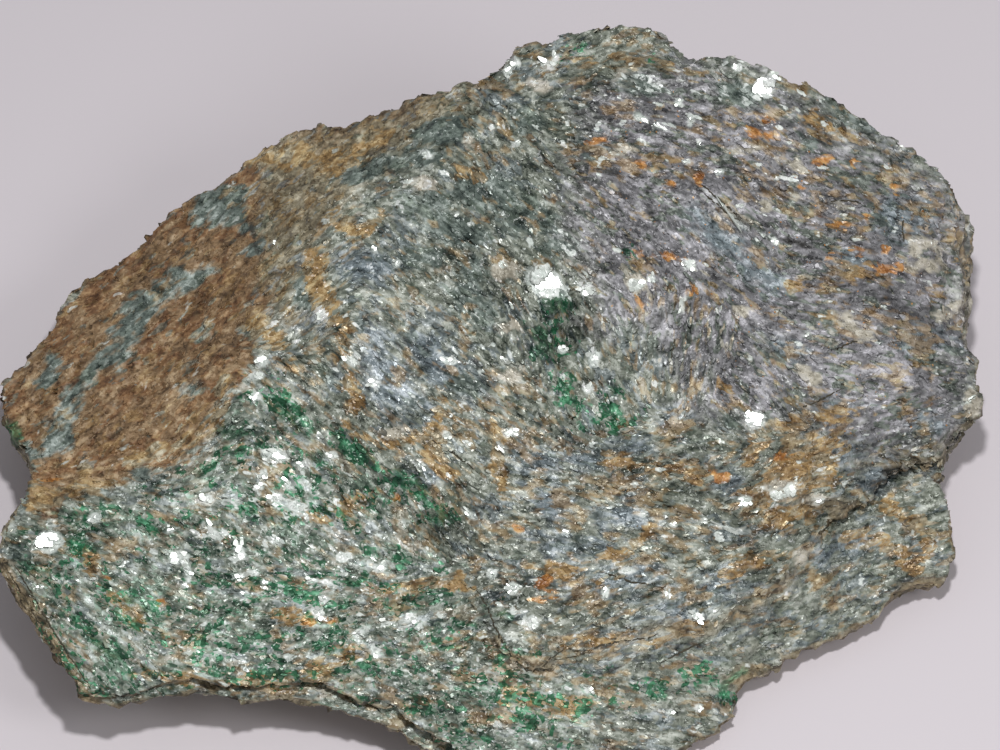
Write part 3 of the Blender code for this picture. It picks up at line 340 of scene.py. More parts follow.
PAINTED_LIGHT_PATCHES = (
    (-26.5, 0, 2, 5, 10), (-36, 3, 2, 1.5), (-33, -8.5, 1.5, 1.2), (-24, -15.5, 3.5, 1.5, -45),
    (-27, 23, 5, 2), (-32, 20, 1.5, 1.5), (-30, 16.5, 1, 1), (-39.5, 10.5, 1.5, 3, 15),
    (-27, 45, 4, 2, 30), (-18, 37, 2, 3), (-30, 33.5, 1.5, 1.5), (-14.5, 14, 1.2, 2.5),
    (-26, 12, 2, 1, -30), (13, 25, 1.5, 1.5), (19.5, 21.5, 4, 2.5), (13, 16.5, 1, 1.5),
    (20, 12, 1, 2), (1.5, 6.5, 2.5, 1.5, -20), (32.5, 55.5, 1.5, 1.5), (37, 53, 1.5, 2.5),
    (33, 47.5, 1.5, 3.5, 15), (10, 57.5, 1.5, 1.5), (5.5, 53.5, 1.5, 1.5), (3, 42.5, 1.5, 1.5),
    (31, 36.5, 2, 1.5), (22.5, 37.5, 3, 1, -30), (13, 36.5, 1.5, 1), (25.5, 28.5, 2, 1, -30),
    (48, 20.5, 4, 0.8), (45.5, 14.5, 1.5, 1.2), (25.5, -9.5, 2, 2), (42, -12, 1, 1),
    (5, -18, 1.5, 2), (-13, -9.5, 1.5, 1.2), (-6.5, -9, 1.2, 1.2), (12, -28, 1.5, 4, 15),
    (-15, 18, 3, 2, -30), (-12, 13, 3, 1.5, -30), (-2, 8.5, 2.5, 2), (-10, 23, 2.5, 2),
    (14, 24, 2, 1.5), (47, 14, 3, 2.5), (52, 12, 2.5, 2), (44.5, 46.5, 2, 2),
    (20, -21, 4, 1.2, 10), (3, -27, 3, 2), (-29, -24.5, 2, 1.2), (-25, -1, 2, 2),
    (10, 11.5, 2.5, 1.5), (3.6, -20, 1.8, 3.2, 20), (-10.5, -17.5, 1.5, 1.2), (-56.5, 10, 2, 3),
    (-24, -3, 1.5, 1.5), (-46, -5.5, 2.2, 1, 20), (-39, -3, 2, 1), (-21, -16, 1.5, 1),
    (-30, -24, 1.5, 1), (32, 48, 1, 2), (8, 31.5, 1.5, 1.5), (-40, 3, 3, 1.2), (-10, 36, 2, 5),
    (-20, 30, 1.5, 3), (-6, 27, 2, 2), (29, -24, 4, 1.5), (21, -17, 1.5, 1.2), (30, -25, 3, 3),
    (59, 33, 2, 1.5), (-43, 28, 2.5, 1.5, 20), (38.5, 11, 2.5, 2), (35, 13, 1.5, 1.5),
    (13, 11, 3, 2.5), (28, 12, 2, 2), (-23, 8.5, 2, 1.5), (-34, -1.5, 2, 2), (-6, 4, 2, 2, -40),
    (-2, 2.5, 1.5, 1.2), (53, 15.5, 1.8, 3), (-36, -22.5, 2.5, 1.5, 20), (-21, -21.5, 1.5, 1.5),
    (-29, -24, 1.5, 1.2), (12, 31.5, 1.5, 2), (-16.5, 24, 2, 1.5), (-41, 10, 1.5, 1.5),
    (-58, 4, 2, 3), (56, 0, 2, 1.5), (59, 2, 1.5, 1), (-57, 25, 2.5, 3), (-29, 46, 3, 1.5, 45),
)

# The lie of the grain: across, up, and its turn in degrees from the level.
GRAIN_TURNS = (
    (-55, 11.5, 35), (-45.5, 24.5, 38), (-32, 35.5, 42), (-25.5, 24.5, 35), (-12, 48.5, 30),
    (-37.5, 8.5, 35), (-57.5, -7.5, -15), (-60, -15.5, -45), (-45.5, -10, -25), (-51, -23.5, -40),
    (-28, 10, -35), (-20, 4.5, -42), (-8, -4.5, -50), (-25.5, -4.5, -30), (-36, -20.5, -5),
    (-21.5, -20.5, 5), (-7, -15.5, 14), (-12, -26, -15), (9, -31.5, -10), (-15, 16.5, -38),
    (-3, 11.5, -30), (-5.5, 30, -40), (1, 44.5, -50), (14.5, 31.5, -42), (14.5, 48.5, -8),
    (28, 44.5, -18), (32.5, 36, -38), (46.5, 34, -12), (57, 24.5, -20), (46.5, 18, -8),
    (36, 11.5, -38), (25, 16.5, 70), (16, 11.5, -60), (9, 20.5, -70), (20, 4.5, 5),
    (9, -4.5, -10), (24, -6, -10), (17, -15.5, 15), (30.5, -15.5, 18), (28, -27.5, -15),
    (45, -10, 28), (38.5, 2, 25), (54.5, 6, 8), (57, -10, 15), (37, 51.5, -25), (9, 56.5, 20),
)

# Single bright books of mica: across, up, length, width, and any turn in degrees.
BRIGHT_BOOKS = (
    (7.2, 26.9, 4.6, 3.2, -25), (-58.3, -7.4, 3, 2.4), (34.9, 8.6, 2.2, 2),
    (36.4, 52.9, 2.2, 2.2, -20), (38, 54.5, 1.4, 0.9, -20), (12.5, 26, 2, 1.4, -20),
    (13.6, 17, 1.7, 1.6), (9.5, 18, 1.2, 1), (7.3, 56, 2, 1.2, -20), (8.7, 57.2, 0.9, 1.3),
    (3.2, 56.4, 1, 1.1), (2.3, 55, 0.8, 1.2), (-30.3, 16.3, 1.5, 1.3), (-31, 14.5, 1.5, 1),
    (-31, 11.7, 0.9, 1.7, -40), (-22.7, 6.6, 0.8, 0.8), (-28.5, 4, 3, 1.4, -10),
    (-25, 2.7, 2, 0.8), (-21, 4, 1.4, 0.8), (-30, 1.5, 0.9, 1.3), (-37.5, -1.7, 1.6, 1.1),
    (-28.5, -1.5, 1.8, 0.9), (-25.8, -2.8, 1.8, 1.3, -40), (-24.5, -4.2, 1, 1),
    (-36.8, -6, 2.6, 1, -45), (-33, -8.5, 1.5, 2), (-28.5, -7, 1.6, 0.8, -30),
    (-41, -9.5, 2, 1.4), (-39.8, -11.8, 0.7, 1.7), (-42.3, -5.7, 0.9, 0.9),
    (-52.3, -4.3, 1.5, 1.1), (-48.5, -10.6, 0.8, 1), (-52, -12, 0.9, 0.8),
    (-59.3, -13.5, 0.8, 0.6), (-40.3, -13, 0.8, 0.7), (-17.8, -10.3, 0.9, 0.8),
    (-14.3, -10.6, 1.6, 0.7, 40), (-23.5, -12.5, 1.4, 0.9), (-22, -15, 1.4, 0.9, -30),
    (-33, -12, 1.2, 0.8), (-3, -3.5, 1.5, 0.6, -40), (-9.5, 3, 1.7, 0.7, -35),
    (0, -11.5, 0.9, 0.9), (2.8, -13.5, 1.4, 1.4), (5.5, -18, 1.4, 1.5), (2.5, 7, 1.7, 1),
    (-5.8, 6.8, 1.2, 1), (-3, 5.5, 0.9, 0.8), (1.5, 5, 1.4, 0.6, -50), (-15.5, 13.5, 1.6, 0.9),
    (-18.5, 16.5, 1.8, 1.1, -40), (-5.5, 16.4, 1.4, 0.9), (1.8, 16.5, 1, 0.8),
    (-4.5, 36, 0.9, 0.7), (-12.5, 29.4, 0.9, 0.8), (-15.4, 31.2, 0.7, 1), (-22.5, 22.5, 1.3, 1.3),
    (-28.7, 32.2, 0.9, 0.6), (-8.7, 44, 1.2, 0.6, -30), (3.5, 45.5, 0.6, 1.4, -50),
    (32.8, 55.7, 0.9, 0.9), (26.5, 48.5, 0.7, 1.4), (25, 50.8, 0.9, 0.9), (27.6, 45.5, 0.9, 0.8),
    (20, 48.8, 2, 0.7, -35), (22.5, 47.5, 2, 0.6, -25), (26, 43, 0.8, 0.6), (33, 37, 1, 0.7),
    (37.6, 32.3, 0.8, 0.9), (30.2, 41.8, 0.8, 0.6), (26.2, 29.1, 1.4, 1.2),
    (19.2, 26.5, 1.6, 1.3), (21.2, 27.5, 0.7, 1.3), (25.2, 23.8, 0.6, 2.2, -15),
    (12.7, 12.8, 1.1, 1.4), (41.5, 20, 0.9, 0.6), (55, 45.1, 0.8, 0.6), (39.5, -0.8, 1.5, 1.5),
    (37.6, -1.3, 1.3, 1.3), (43.5, -2, 1.5, 0.8), (33.5, -2, 1.5, 1.2), (28, -4.6, 0.8, 0.8),
    (9.8, -6.1, 0.8, 0.5), (20, -3.7, 1.1, 0.6), (24, -5, 0.8, 0.5), (18, -11, 1.5, 0.8),
    (23.2, -14, 0.6, 1.2), (27, -17, 2, 1, -30), (15, -14, 0.8, 1.3), (23.6, -29.7, 1.1, 0.8),
    (13, -26.8, 0.9, 0.8), (27.3, -29.3, 0.8, 0.9), (1, -31.3, 1.2, 0.9),
    (30.7, -5.5, 4.6, 0.35, -14), (31.2, 36.4, 5, 0.4, -43), (63.6, 11.2, 1.8, 0.5, 25),
    (-10.5, -17.5, 1.4, 1.1, -20), (-5.5, -25.2, 0.8, 0.6), (-17, -19.1, 1.8, 0.7, 20),
    (-22.7, -16.7, 1.5, 1.2, -30), (-29.5, -12.6, 1.2, 0.8), (-26.6, 0.2, 2, 1, -30),
    (-15, -22, 1, 0.8), (-30.6, -0.2, 1.2, 1),
)

# The rock's finishes: a name to show, and the dark, middle and light tone, as a screen shows them.
SHADES = ("dark", "middle", "light")
FINISHES = {
    "ground": ("Grey-green", (48, 57, 48), (135, 141, 128), (218, 222, 212)),
    "moss": ("Moss", (24, 34, 27), (80, 93, 78), (152, 166, 148)),
    "silver": ("Silver", (66, 66, 68), (134, 133, 136), (212, 210, 216)),
    "blue": ("Blue-grey", (56, 66, 70), (130, 142, 147), (214, 223, 229)),
    "cleaved": ("Cleaved green", (60, 76, 64), (152, 159, 147), (232, 240, 235)),
    "russet": ("Russet", (84, 52, 30), (134, 96, 62), (186, 150, 108)),
    "brown": ("Weathered brown", (82, 62, 40), (146, 118, 86), (194, 170, 136)),
    "olive": ("Olive", (66, 58, 42), (140, 130, 106), (200, 192, 168)),
    "teal": ("Blue-green", (52, 64, 60), (116, 128, 120), (196, 206, 200)),
    "ochre": ("Ochre", (102, 76, 42), (170, 140, 94), (222, 202, 156)),
    "rust": ("Rust", (146, 90, 36), (208, 144, 70), (240, 204, 136)),
    "emerald": ("Emerald", (4, 42, 27), (22, 100, 63), (104, 190, 142)),
    "cream": ("Cream", (146, 140, 124), (198, 192, 176), (234, 230, 220)),
    "edge": ("Broken edge", (58, 48, 34), (136, 118, 88), (196, 180, 148)),
    # glint: near-white tones for painted glints.
    "glint": ("Painted glint", (200, 210, 202), (240, 246, 241), (255, 255, 255)),
    "tan": ("Tan", (104, 88, 70), (172, 158, 138), (228, 218, 204)),
}
FLOOR_COLOUR = (225, 218, 223)
# Near black: painted shade in the cracks.
CRACK_SHADOW_COLOUR = (0.02, 0.018, 0.014)
# Bright books: pale mica painted near white, a painted highlight on top of their real reflection of
# the key light.
BOOK_GLINT_COLOURS = (176, 186, 176), (238, 240, 236)
# Plate edge strips: dark tones for painted shadow under the plate ends.
EDGE_SHADOW_COLOURS = (20, 20, 16), (92, 84, 66)


def display(red, green, blue):
    """A colour given as a screen shows it, from 0 to 255, as linear light."""
    parts = [value / 255 for value in (red, green, blue)]
    return tuple(
        part / 12.92 if part <= 0.04045 else ((part + 0.055) / 1.055) ** 2.4 for part in parts
    )


def tone_property(name, tone):
    return FloatVectorProperty(
        name=name,
        description=f"{name} of the rock",
        subtype="COLOR",
        size=3,
        min=0.0,
        max=1.0,
        default=display(*tone),
    )


def length_property(name, description, millimetres):
    return FloatProperty(
        name=name,
        description=description,
        default=millimetres * MM,
        subtype="DISTANCE",
        unit="LENGTH",
    )


class MicaSizes(bpy.types.PropertyGroup):
    skin_cuts: IntProperty(
        name="Skin cuts", description="How finely the facets are cut", default=2, min=0, max=3
    )
    skin_softening: IntProperty(
        name="Skin softening", description="Rounds of smoothing over the facets", default=5, min=0
    )
    skin_relief: length_property("Skin relief", "Height of the fine relief", 0.35)
    large_leaf: length_property("Large leaf", "Longest large leaf", 2.0)
    medium_leaf: length_property("Medium leaf", "Longest medium leaf", 1.4)
    small_leaf: length_property("Small leaf", "Longest small leaf", 0.95)


class MicaColours(bpy.types.PropertyGroup):
    __annotations__ = {
        f"{finish}_{shade}": tone_property(f"{label}, {shade}", tone)
        for finish, (label, *tones) in FINISHES.items()
        for shade, tone in zip(SHADES, tones)
    }
    __annotations__["floor"] = tone_property("Floor", FLOOR_COLOUR)


def colours():
    return bpy.context.scene.mica_colours


def sizes():
    return bpy.context.scene.mica_sizes


def opaque(colour):
    return (*colour, 1.0)


# Node trees ------------------------------------------------------------------

FLOAT, VECTOR, COLOUR = "NodeSocketFloat", "NodeSocketVector", "NodeSocketColor"
GEOMETRY, MATERIAL = "NodeSocketGeometry", "NodeSocketMaterial"
COLLECTION, WHOLE = "NodeSocketCollection", "NodeSocketInt"


class Tree:
    """A node tree while it is being built."""

    def __init__(self, tree):
        self.tree = tree

    def add(self, kind, feeds=None, **settings):
        node = self.tree.nodes.new(kind)
        for name, value in settings.items():
            setattr(node, name, value)
        self.feed(node, feeds or {})
        return node

    def feed(self, node, feeds):
        for label, value in feeds.items():
            if isinstance(value, bpy.types.NodeSocket):
                self.tree.links.new(value, node.inputs[label])
            elif value is not None:
                node.inputs[label].default_value = value

    def math(self, operation, first, second=None, third=None, clamp=False):
        feeds = {0: first, 1: second, 2: third}
        return self.add(
            "ShaderNodeMath", feeds, operation=operation, use_clamp=clamp
        ).outputs[0]

    def times(self, first, second, clamp=False):
        return self.math("MULTIPLY", first, second, clamp=clamp)

    def line(self, value, slope, base, clamp=False):
        """The value times the slope, plus the base."""
        return self.math("MULTIPLY_ADD", value, slope, base, clamp)

    def most(self, first, second):
        return self.math("MAXIMUM", first, second)

    def vector(self, operation, first, second=None, scale=None):
        feeds = {0: first, 1: second, "Scale": scale}
        node = self.add("ShaderNodeVectorMath", feeds, operation=operation)
        return node.outputs["Value" if operation == "DOT_PRODUCT" else "Vector"]

    def scaled(self, vector, scale):
        return self.vector("SCALE", vector, scale=scale)

    def moved(self, vector, way, scale):
        """The vector moved so many times along another."""
        return self.vector("ADD", vector, self.scaled(way, scale))

    def centred(self, colour):
        return self.vector("SUBTRACT", colour, (0.5, 0.5, 0.5))

    def parts(self, vector):
        return self.add("ShaderNodeSeparateXYZ", {0: vector}).outputs

    def mix(self, share, first, second):
        feeds = {0: share, 6: first, 7: second}
        return self.add("ShaderNodeMix", feeds, data_type="RGBA").outputs[2]

    def rise(self, value, low, high):
        """From 0 at the low value to 1 at the high one, with soft ends."""
        feeds = {"Value": value, "From Min": low, "From Max": high}
        return self.add("ShaderNodeMapRange", feeds, interpolation_type="SMOOTHSTEP").outputs[0]

    def spread(self, value, low, high):
        """Values from 0 to 1 laid between the low value and the high one."""
        return self.add(
            "ShaderNodeMapRange", {"Value": value, "To Min": low, "To Max": high}
        ).outputs[0]

    def noise(self, place, scale, detail=2.0, roughness=0.5):
        feeds = {"Vector": place, "Scale": scale, "Detail": detail, "Roughness": roughness}
        return self.add("ShaderNodeTexNoise", feeds).outputs

    def cells(self, place, scale):
        return self.add("ShaderNodeTexVoronoi", {"Vector": place, "Scale": scale}).outputs

    def object_place(self):
        return self.add("ShaderNodeTexCoord").outputs["Object"]

    def painted(self, label, output="Fac"):
        """A field of the piece, in a material."""
        return self.add("ShaderNodeAttribute", attribute_name=label).outputs[output]

    def field(self, label, kind="FLOAT"):
        """A field of the mesh, in a geometry tree."""
        return self.add(
            "GeometryNodeInputNamedAttribute", {"Name": label}, data_type=kind
        ).outputs[0]

    def store(self, geometry, label, value, kind="FLOAT"):
        return self.add(
            "GeometryNodeStoreNamedAttribute",
            {"Geometry": geometry, "Name": label, "Value": value},
            data_type=kind,
            domain="POINT",
        ).outputs[0]

    def group(self, tree, feeds):
        return self.add("ShaderNodeGroup", feeds, node_tree=tree).outputs


def new_group(name, kind, inputs, outputs):
    """An empty node group. Each input has a name, a kind of socket and perhaps a default."""
    tree = bpy.data.node_groups.new(name, kind)
    for label, socket, *default in inputs:
        made = tree.interface.new_socket(label, in_out="INPUT", socket_type=socket)
        if default:
            made.default_value = default[0]
    for label, socket in outputs:
        tree.interface.new_socket(label, in_out="OUTPUT", socket_type=socket)
    build = Tree(tree)
    return build, build.add("NodeGroupInput").outputs, build.add("NodeGroupOutput")


def built_once(name):
    """For a function that builds the node group of this name: it is built only once."""

    def wrap(build):
        return lambda: bpy.data.node_groups.get(name) or build(name)

    return wrap


STREAK_TURNS = (-64, -38, -12, 14, 40, 84)
STREAK_OVERLAP = 0.55
STREAK_DEPTH = 0.35


def streaks(build, place, turn, fine, stretch, detail, roughness=0.6):
    """Three noises about zero, drawn out along the grain, or along the beds on a broken side.

    Each is blended from noises with fixed turns, so that a pattern never shears where the
    grain swings round. Place is in metres; fine is in waves per metre over the grain."""
    on_side = build.parts(turn)[2]
    on_top = build.math("SUBTRACT", 1.0, on_side)
    depth = build.times(build.vector("DOT_PRODUCT", place, tuple(VIEW)), fine * STREAK_DEPTH)
    layers = []
    for degrees in STREAK_TURNS:
        angle = math.radians(degrees)
        cos, sin = math.cos(angle), math.sin(angle)
        run = Vector((cos, sin * math.sin(LEAN), sin * math.cos(LEAN))) * (fine / stretch)
        over = Vector((-sin, cos * math.sin(LEAN), cos * math.cos(LEAN))) * fine
        feeds = [build.vector("DOT_PRODUCT", place, tuple(way)) for way in (run, over)]
        drawn = build.add("ShaderNodeCombineXYZ", {0: feeds[0], 1: feeds[1], 2: depth}).outputs[0]
        match = build.vector("DOT_PRODUCT", turn, (math.cos(2 * angle), math.sin(2 * angle), 0.0))
        weight = build.most(build.math("SUBTRACT", match, STREAK_OVERLAP), 0.0)
        layers.append((drawn, build.times(build.times(weight, weight), on_top)))
    beds = build.vector("MULTIPLY", place, (fine / stretch, fine / stretch, fine))
    layers.append((beds, build.times(on_side, (1 - STREAK_OVERLAP) ** 2)))
    total, squares = None, None
    for drawn, weight in layers:
        noise = build.centred(build.noise(drawn, 1.0, detail, roughness)["Color"])
        share, square = build.scaled(noise, weight), build.times(weight, weight)
        total = share if total is None else build.vector("ADD", total, share)
        squares = square if squares is None else build.math("ADD", squares, square)
    size = build.math("SQRT", build.math("ADD", squares, 1e-6))
    return build.scaled(total, build.math("DIVIDE", 1.0, size))


# Fields over the rock ----------------------------------------------------------

FRONT_FADE = 0.15  # how far round the rim the front's patches go
BACK_LEAVES = 0.65  # leaves on the far sides, to each one in front
SIDE_SLOPE = 0.62  # a surface that faces up less than this is a broken side
SIDE_FADE = 0.3
HIGH_SIDE = 24 * MM  # above this a broken side shows less
HIGH_SIDE_SHARE = 0.6
UNDERSIDE_SLOPE = -0.45
FOOT_HEIGHT = 0.6 * MM
BED_SHARE = 0.8  # how far leaves on a broken side lie level
# The pale ground round each bright book is a painted glint.
GRAIN_REACH = 4.0  # squared, in millimetres: evens out the grain close to a given place
GLINT_SPOT_SHARE = 0.6  # a bright book's pale ground, to the book's size
CLEAVED_GREEN = 0.76  # how green the cleaved face is between its patches


def smoothstep(value):
    value = np.clip(value, 0.0, 1.0)
    return value * value * (3.0 - 2.0 * value)


def read(layer, key, width=3):
    """The values of a mesh's layer, one row to a point."""
    values = np.empty(len(layer) * width, np.float32)
    layer.foreach_get(key, values)
    return values.reshape(-1, width).astype(float)


def write(layer, key, values):
    layer.foreach_set(key, np.ascontiguousarray(values, np.float32).ravel())


def set_field(mesh, name, values):
    kind, key = ("FLOAT_VECTOR", "vector") if values.ndim == 2 else ("FLOAT", "value")
    layer = mesh.attributes.get(name) or mesh.attributes.new(name, kind, "POINT")
    write(layer.data, key, values)


class LeaningPlane:
    """The places of points across and up the leaning plane, and how far they lie in its marks.

    Each mark runs from 0 outside to 1 inside, over twice its softness in millimetres."""

    def __init__(self, places):
        x, y, z = places.T / MM
        self.across = x + MIDDLE_ACROSS
        self.up = (y + MIDDLE_BACK) * math.sin(LEAN) + z * math.cos(LEAN)

    def to_segments(self, line):
        """Distance to a line of points, and how far along its nearest segment that is."""
        across, up = self.across, self.up
        nearest = np.full(across.shape, np.inf)
        number, share = np.zeros(across.shape, int), np.zeros(across.shape)
        for n, ((a0, u0, *_), (a1, u1, *_)) in enumerate(zip(line, line[1:])):
            da, du = a1 - a0, u1 - u0
            t = np.clip(((across - a0) * da + (up - u0) * du) / (da * da + du * du), 0, 1)
            gap = np.hypot(across - a0 - t * da, up - u0 - t * du)
            closer = gap < nearest
            nearest[closer], number[closer], share[closer] = gap[closer], n, t[closer]
        return nearest, number, share

    def outline(self, outline, softness):
        ring = outline + outline[:1]
        gap = self.to_segments(ring)[0]
        odd = np.zeros(gap.shape, bool)
        for (a0, u0), (a1, u1) in zip(ring, ring[1:]):
            crosses = (u0 > self.up) != (u1 > self.up)
            if u0 != u1:
                odd ^= crosses & (self.across < (a1 - a0) * (self.up - u0) / (u1 - u0) + a0)
        return np.clip(0.5 + np.where(odd, gap, -gap) / (2 * softness), 0, 1)

    def bands(self, bands, softness):
        result = np.zeros(self.across.shape)
        for line in bands:
            gap, number, share = self.to_segments(line)
            widths = np.array([point[2] for point in line])
            half = widths[number] * (1 - share) + widths[number + 1] * share
            result = np.maximum(result, np.clip(0.5 + (half - gap) / (2 * softness), 0, 1))
        return result

    def patches(self, patches, softness):
        result = np.zeros(self.across.shape)
        for a, u, long, wide, *turn in patches:
            angle = math.radians(sum(turn))
            right, above = self.across - a, self.up - u
            along = right * math.cos(angle) + above * math.sin(angle)
            over = above * math.cos(angle) - right * math.sin(angle)
            depth = (1 - np.hypot(along / long, over / wide)) * min(long, wide)
            result = np.maximum(result, np.clip(0.5 + depth / (2 * softness), 0, 1))
        return result

    def grain(self):
        """Direction of the grain, from the turns given for it, as across and up."""
        double_cos, double_sin = np.zeros(self.up.shape), np.zeros(self.up.shape)
        for a, u, turn in GRAIN_TURNS:
            weight = ((self.across - a) ** 2 + (self.up - u) ** 2 + GRAIN_REACH) ** -2
            double_cos += weight * math.cos(math.radians(2 * turn))
            double_sin += weight * math.sin(math.radians(2 * turn))
        angle = np.arctan2(double_sin, double_cos) / 2
        return np.cos(angle), np.sin(angle)


def paint_fields(mesh):
    """Writes where each kind of rock lies, and how its leaves lie, on the points of the skin."""
    places = read(mesh.vertices, "co")
    normals = read(mesh.vertex_normals, "vector")
    plane = LeaningPlane(places)
    side = smoothstep((SIDE_SLOPE - normals[:, 2]) / SIDE_FADE)
    side[places[:, 2] > HIGH_SIDE] *= HIGH_SIDE_SHARE
    outward = normals[:, 2] * math.sin(LEAN) - normals[:, 1] * math.cos(LEAN)
    front = smoothstep((outward + FRONT_FADE) / FRONT_FADE)
    painted_glint_spots = [
        (a, u, long * GLINT_SPOT_SHARE, wide * GLINT_SPOT_SHARE, *turn)
        for a, u, long, wide, *turn in BRIGHT_BOOKS
    ]
    fields = {
        "weathered": plane.outline(WEATHERED_FACE, 2.2),
        "olive": plane.outline(OLIVE_SHOULDER, 4.0),
        "cleaved": plane.outline(CLEAVED_FACE, 2.5),
        "dome": plane.outline(DOME, 6.0),
        "teal": np.maximum.reduce([
            plane.outline(BLUE_PATCH, 1.2),
            plane.bands(BLUE_STRIPE, 1.2),
            plane.patches(TEAL_PATCHES, 1.2),
        ]),
        "blue": plane.patches(BLUE_PATCHES, 1.8),
        "ochre": plane.bands(OCHRE_SEAMS, 1.4),
        "rust": plane.patches(RUST_PATCHES, 0.7) * front,
        "cream": plane.patches(CREAM_PATCHES, 0.9),
        "emerald": np.maximum.reduce([
            plane.patches(EMERALD_PATCHES, 1.6),
            plane.bands(EMERALD_BANDS, 1.8),
            plane.outline(CLEAVED_FACE, 3.5) * CLEAVED_GREEN,
        ]),
        "deep": plane.patches(DEEP_PATCHES, 0.8),
        # bright: where painted glints bunch.
        "bright": plane.patches(PAINTED_GLINT_PATCHES, 3.0),
        # spark: a painted glint round each bright book.
        "spark": plane.patches(painted_glint_spots, 0.45) * front,
        # level: painted light less painted shade, about 0.5 where neither is painted
        "level": 0.5 + front / 2 * (
            plane.patches(PAINTED_LIGHT_PATCHES, 1.2) - plane.patches(PAINTED_SHADE_PATCHES, 1.4)
        ),
        "lamina": plane.bands(BROKEN_EDGE, 0.5),
        # crack: painted shade in the cracks.
        "crack": plane.bands(CRACK_SHADOWS, 0.4) * front,
        "stained": plane.patches(STAINED_PATCHES, 6.0),
        "side": side,
        "outward": normals,
    }
    along, upward = plane.grain()
    fields["turn"] = np.stack([along**2 - upward**2, 2 * along * upward, side], 1)
    none, share = np.zeros(len(places)), side[:, None]
    grain = np.stack([along, upward / math.sin(LEAN), none], 1)
    level = np.stack([-normals[:, 1], normals[:, 0], none], 1)
    level *= np.sign((grain * level).sum(1) + 1e-6)[:, None]
    fields["grain"] = grain * (1 - share) + level * share
    lie = normals * (1 - BED_SHARE * share) + np.array((0, 0, 1)) * BED_SHARE * share
    fields["lie"] = lie / np.linalg.norm(lie, axis=1)[:, None]
    hidden = (normals[:, 2] < UNDERSIDE_SLOPE) | (places[:, 2] < FOOT_HEIGHT)
    fields["cover"] = np.where(hidden, 0.0, BACK_LEAVES + (1 - BACK_LEAVES) * front)
    for name, values in fields.items():
        set_field(mesh, name, values)


# Skin -------------------------------------------------------------------------

STREWN_SKIN = "skin_to_strew"
SKIN_SHARE = 0.82  # of its triangles, the rest being saved underneath
MERGE_GAP = 0.001 * MM
RAY_START = 0.3

RELIEF_FLATTEN = (1.0, 1.0, 2.2)
LUMP_SCALE, LUMP_HEIGHT = 240.0, 1.3
RIPPLES = ((300.0, 3.5, 1.0, 2.4), (750.0, 3.0, 0.0, 1.1))  # waves, stretch, detail, height
SCALE_SIZE, SCALE_TILT = 420.0, 0.7
RELIEF_FOOT = (0.3 * MM, 1.5 * MM)  # where the relief begins above the floor
DRIFT = (420.0, 2.4, 3.0)
BROAD_SCALE, BUNCH_SCALE, BUNCH_DETAIL = 230.0, 560.0, 1.5


def show(mesh, name):
    obj = bpy.data.objects.new(name, mesh)
    bpy.context.scene.collection.objects.link(obj)
    return obj


def taken(obj, name):
    """A plain mesh of what the object's modifiers make, and the object gone."""
    depsgraph = bpy.context.evaluated_depsgraph_get()
    mesh = bpy.data.meshes.new_from_object(
        obj.evaluated_get(depsgraph), preserve_all_data_layers=True, depsgraph=depsgraph
    )
    mesh.name = name
    bpy.data.objects.remove(obj)
    return mesh


def with_tree(mesh, name, tree, settings):
    """The mesh that a geometry tree makes from another mesh."""
    obj = show(mesh, name)
    modifier = obj.modifiers.new(name, "NODES")
    modifier.node_group = tree
    for item in tree.interface.items_tree:
        if item.item_type == "SOCKET" and item.in_out == "INPUT" and item.name in settings:
            modifier[item.identifier] = settings[item.name]
    return taken(obj, name)


def lightened(mesh, name, share):
    """A copy of the skin with fewer triangles underneath, where no leaf lies."""
    obj = show(mesh.copy(), name)
    bare = np.flatnonzero(read(mesh.attributes["cover"].data, "value", 1) == 0.0)
    group = obj.vertex_groups.new(name="underside")
    group.add(bare.tolist(), 1.0, "REPLACE")
    modifier = obj.modifiers.new(name, "DECIMATE")
    modifier.ratio = share
    modifier.vertex_group = group.name
    return taken(obj, name)


def softening_tree():
    """Cuts the triangles smaller and rounds the corners between them."""
    build, take, outlet = new_group(
        "Soften facets",
        "GeometryNodeTree",
        [("Geometry", GEOMETRY), ("Cuts", WHOLE, 2), ("Rounds", WHOLE, 5)],
        [("Geometry", GEOMETRY)],
    )
    cut = build.add(
        "GeometryNodeSubdivideMesh", {"Mesh": take["Geometry"], "Level": take["Cuts"]}
    ).outputs[0]
    place = build.add("GeometryNodeInputPosition").outputs[0]
    blur = build.add(
        "GeometryNodeBlurAttribute",
        {"Value": place, "Iterations": take["Rounds"]},
        data_type="FLOAT_VECTOR",
    ).outputs[0]
    moved = build.add("GeometryNodeSetPosition", {"Geometry": cut, "Position": blur})
    build.feed(outlet, {0: moved.outputs[0]})
    return build.tree


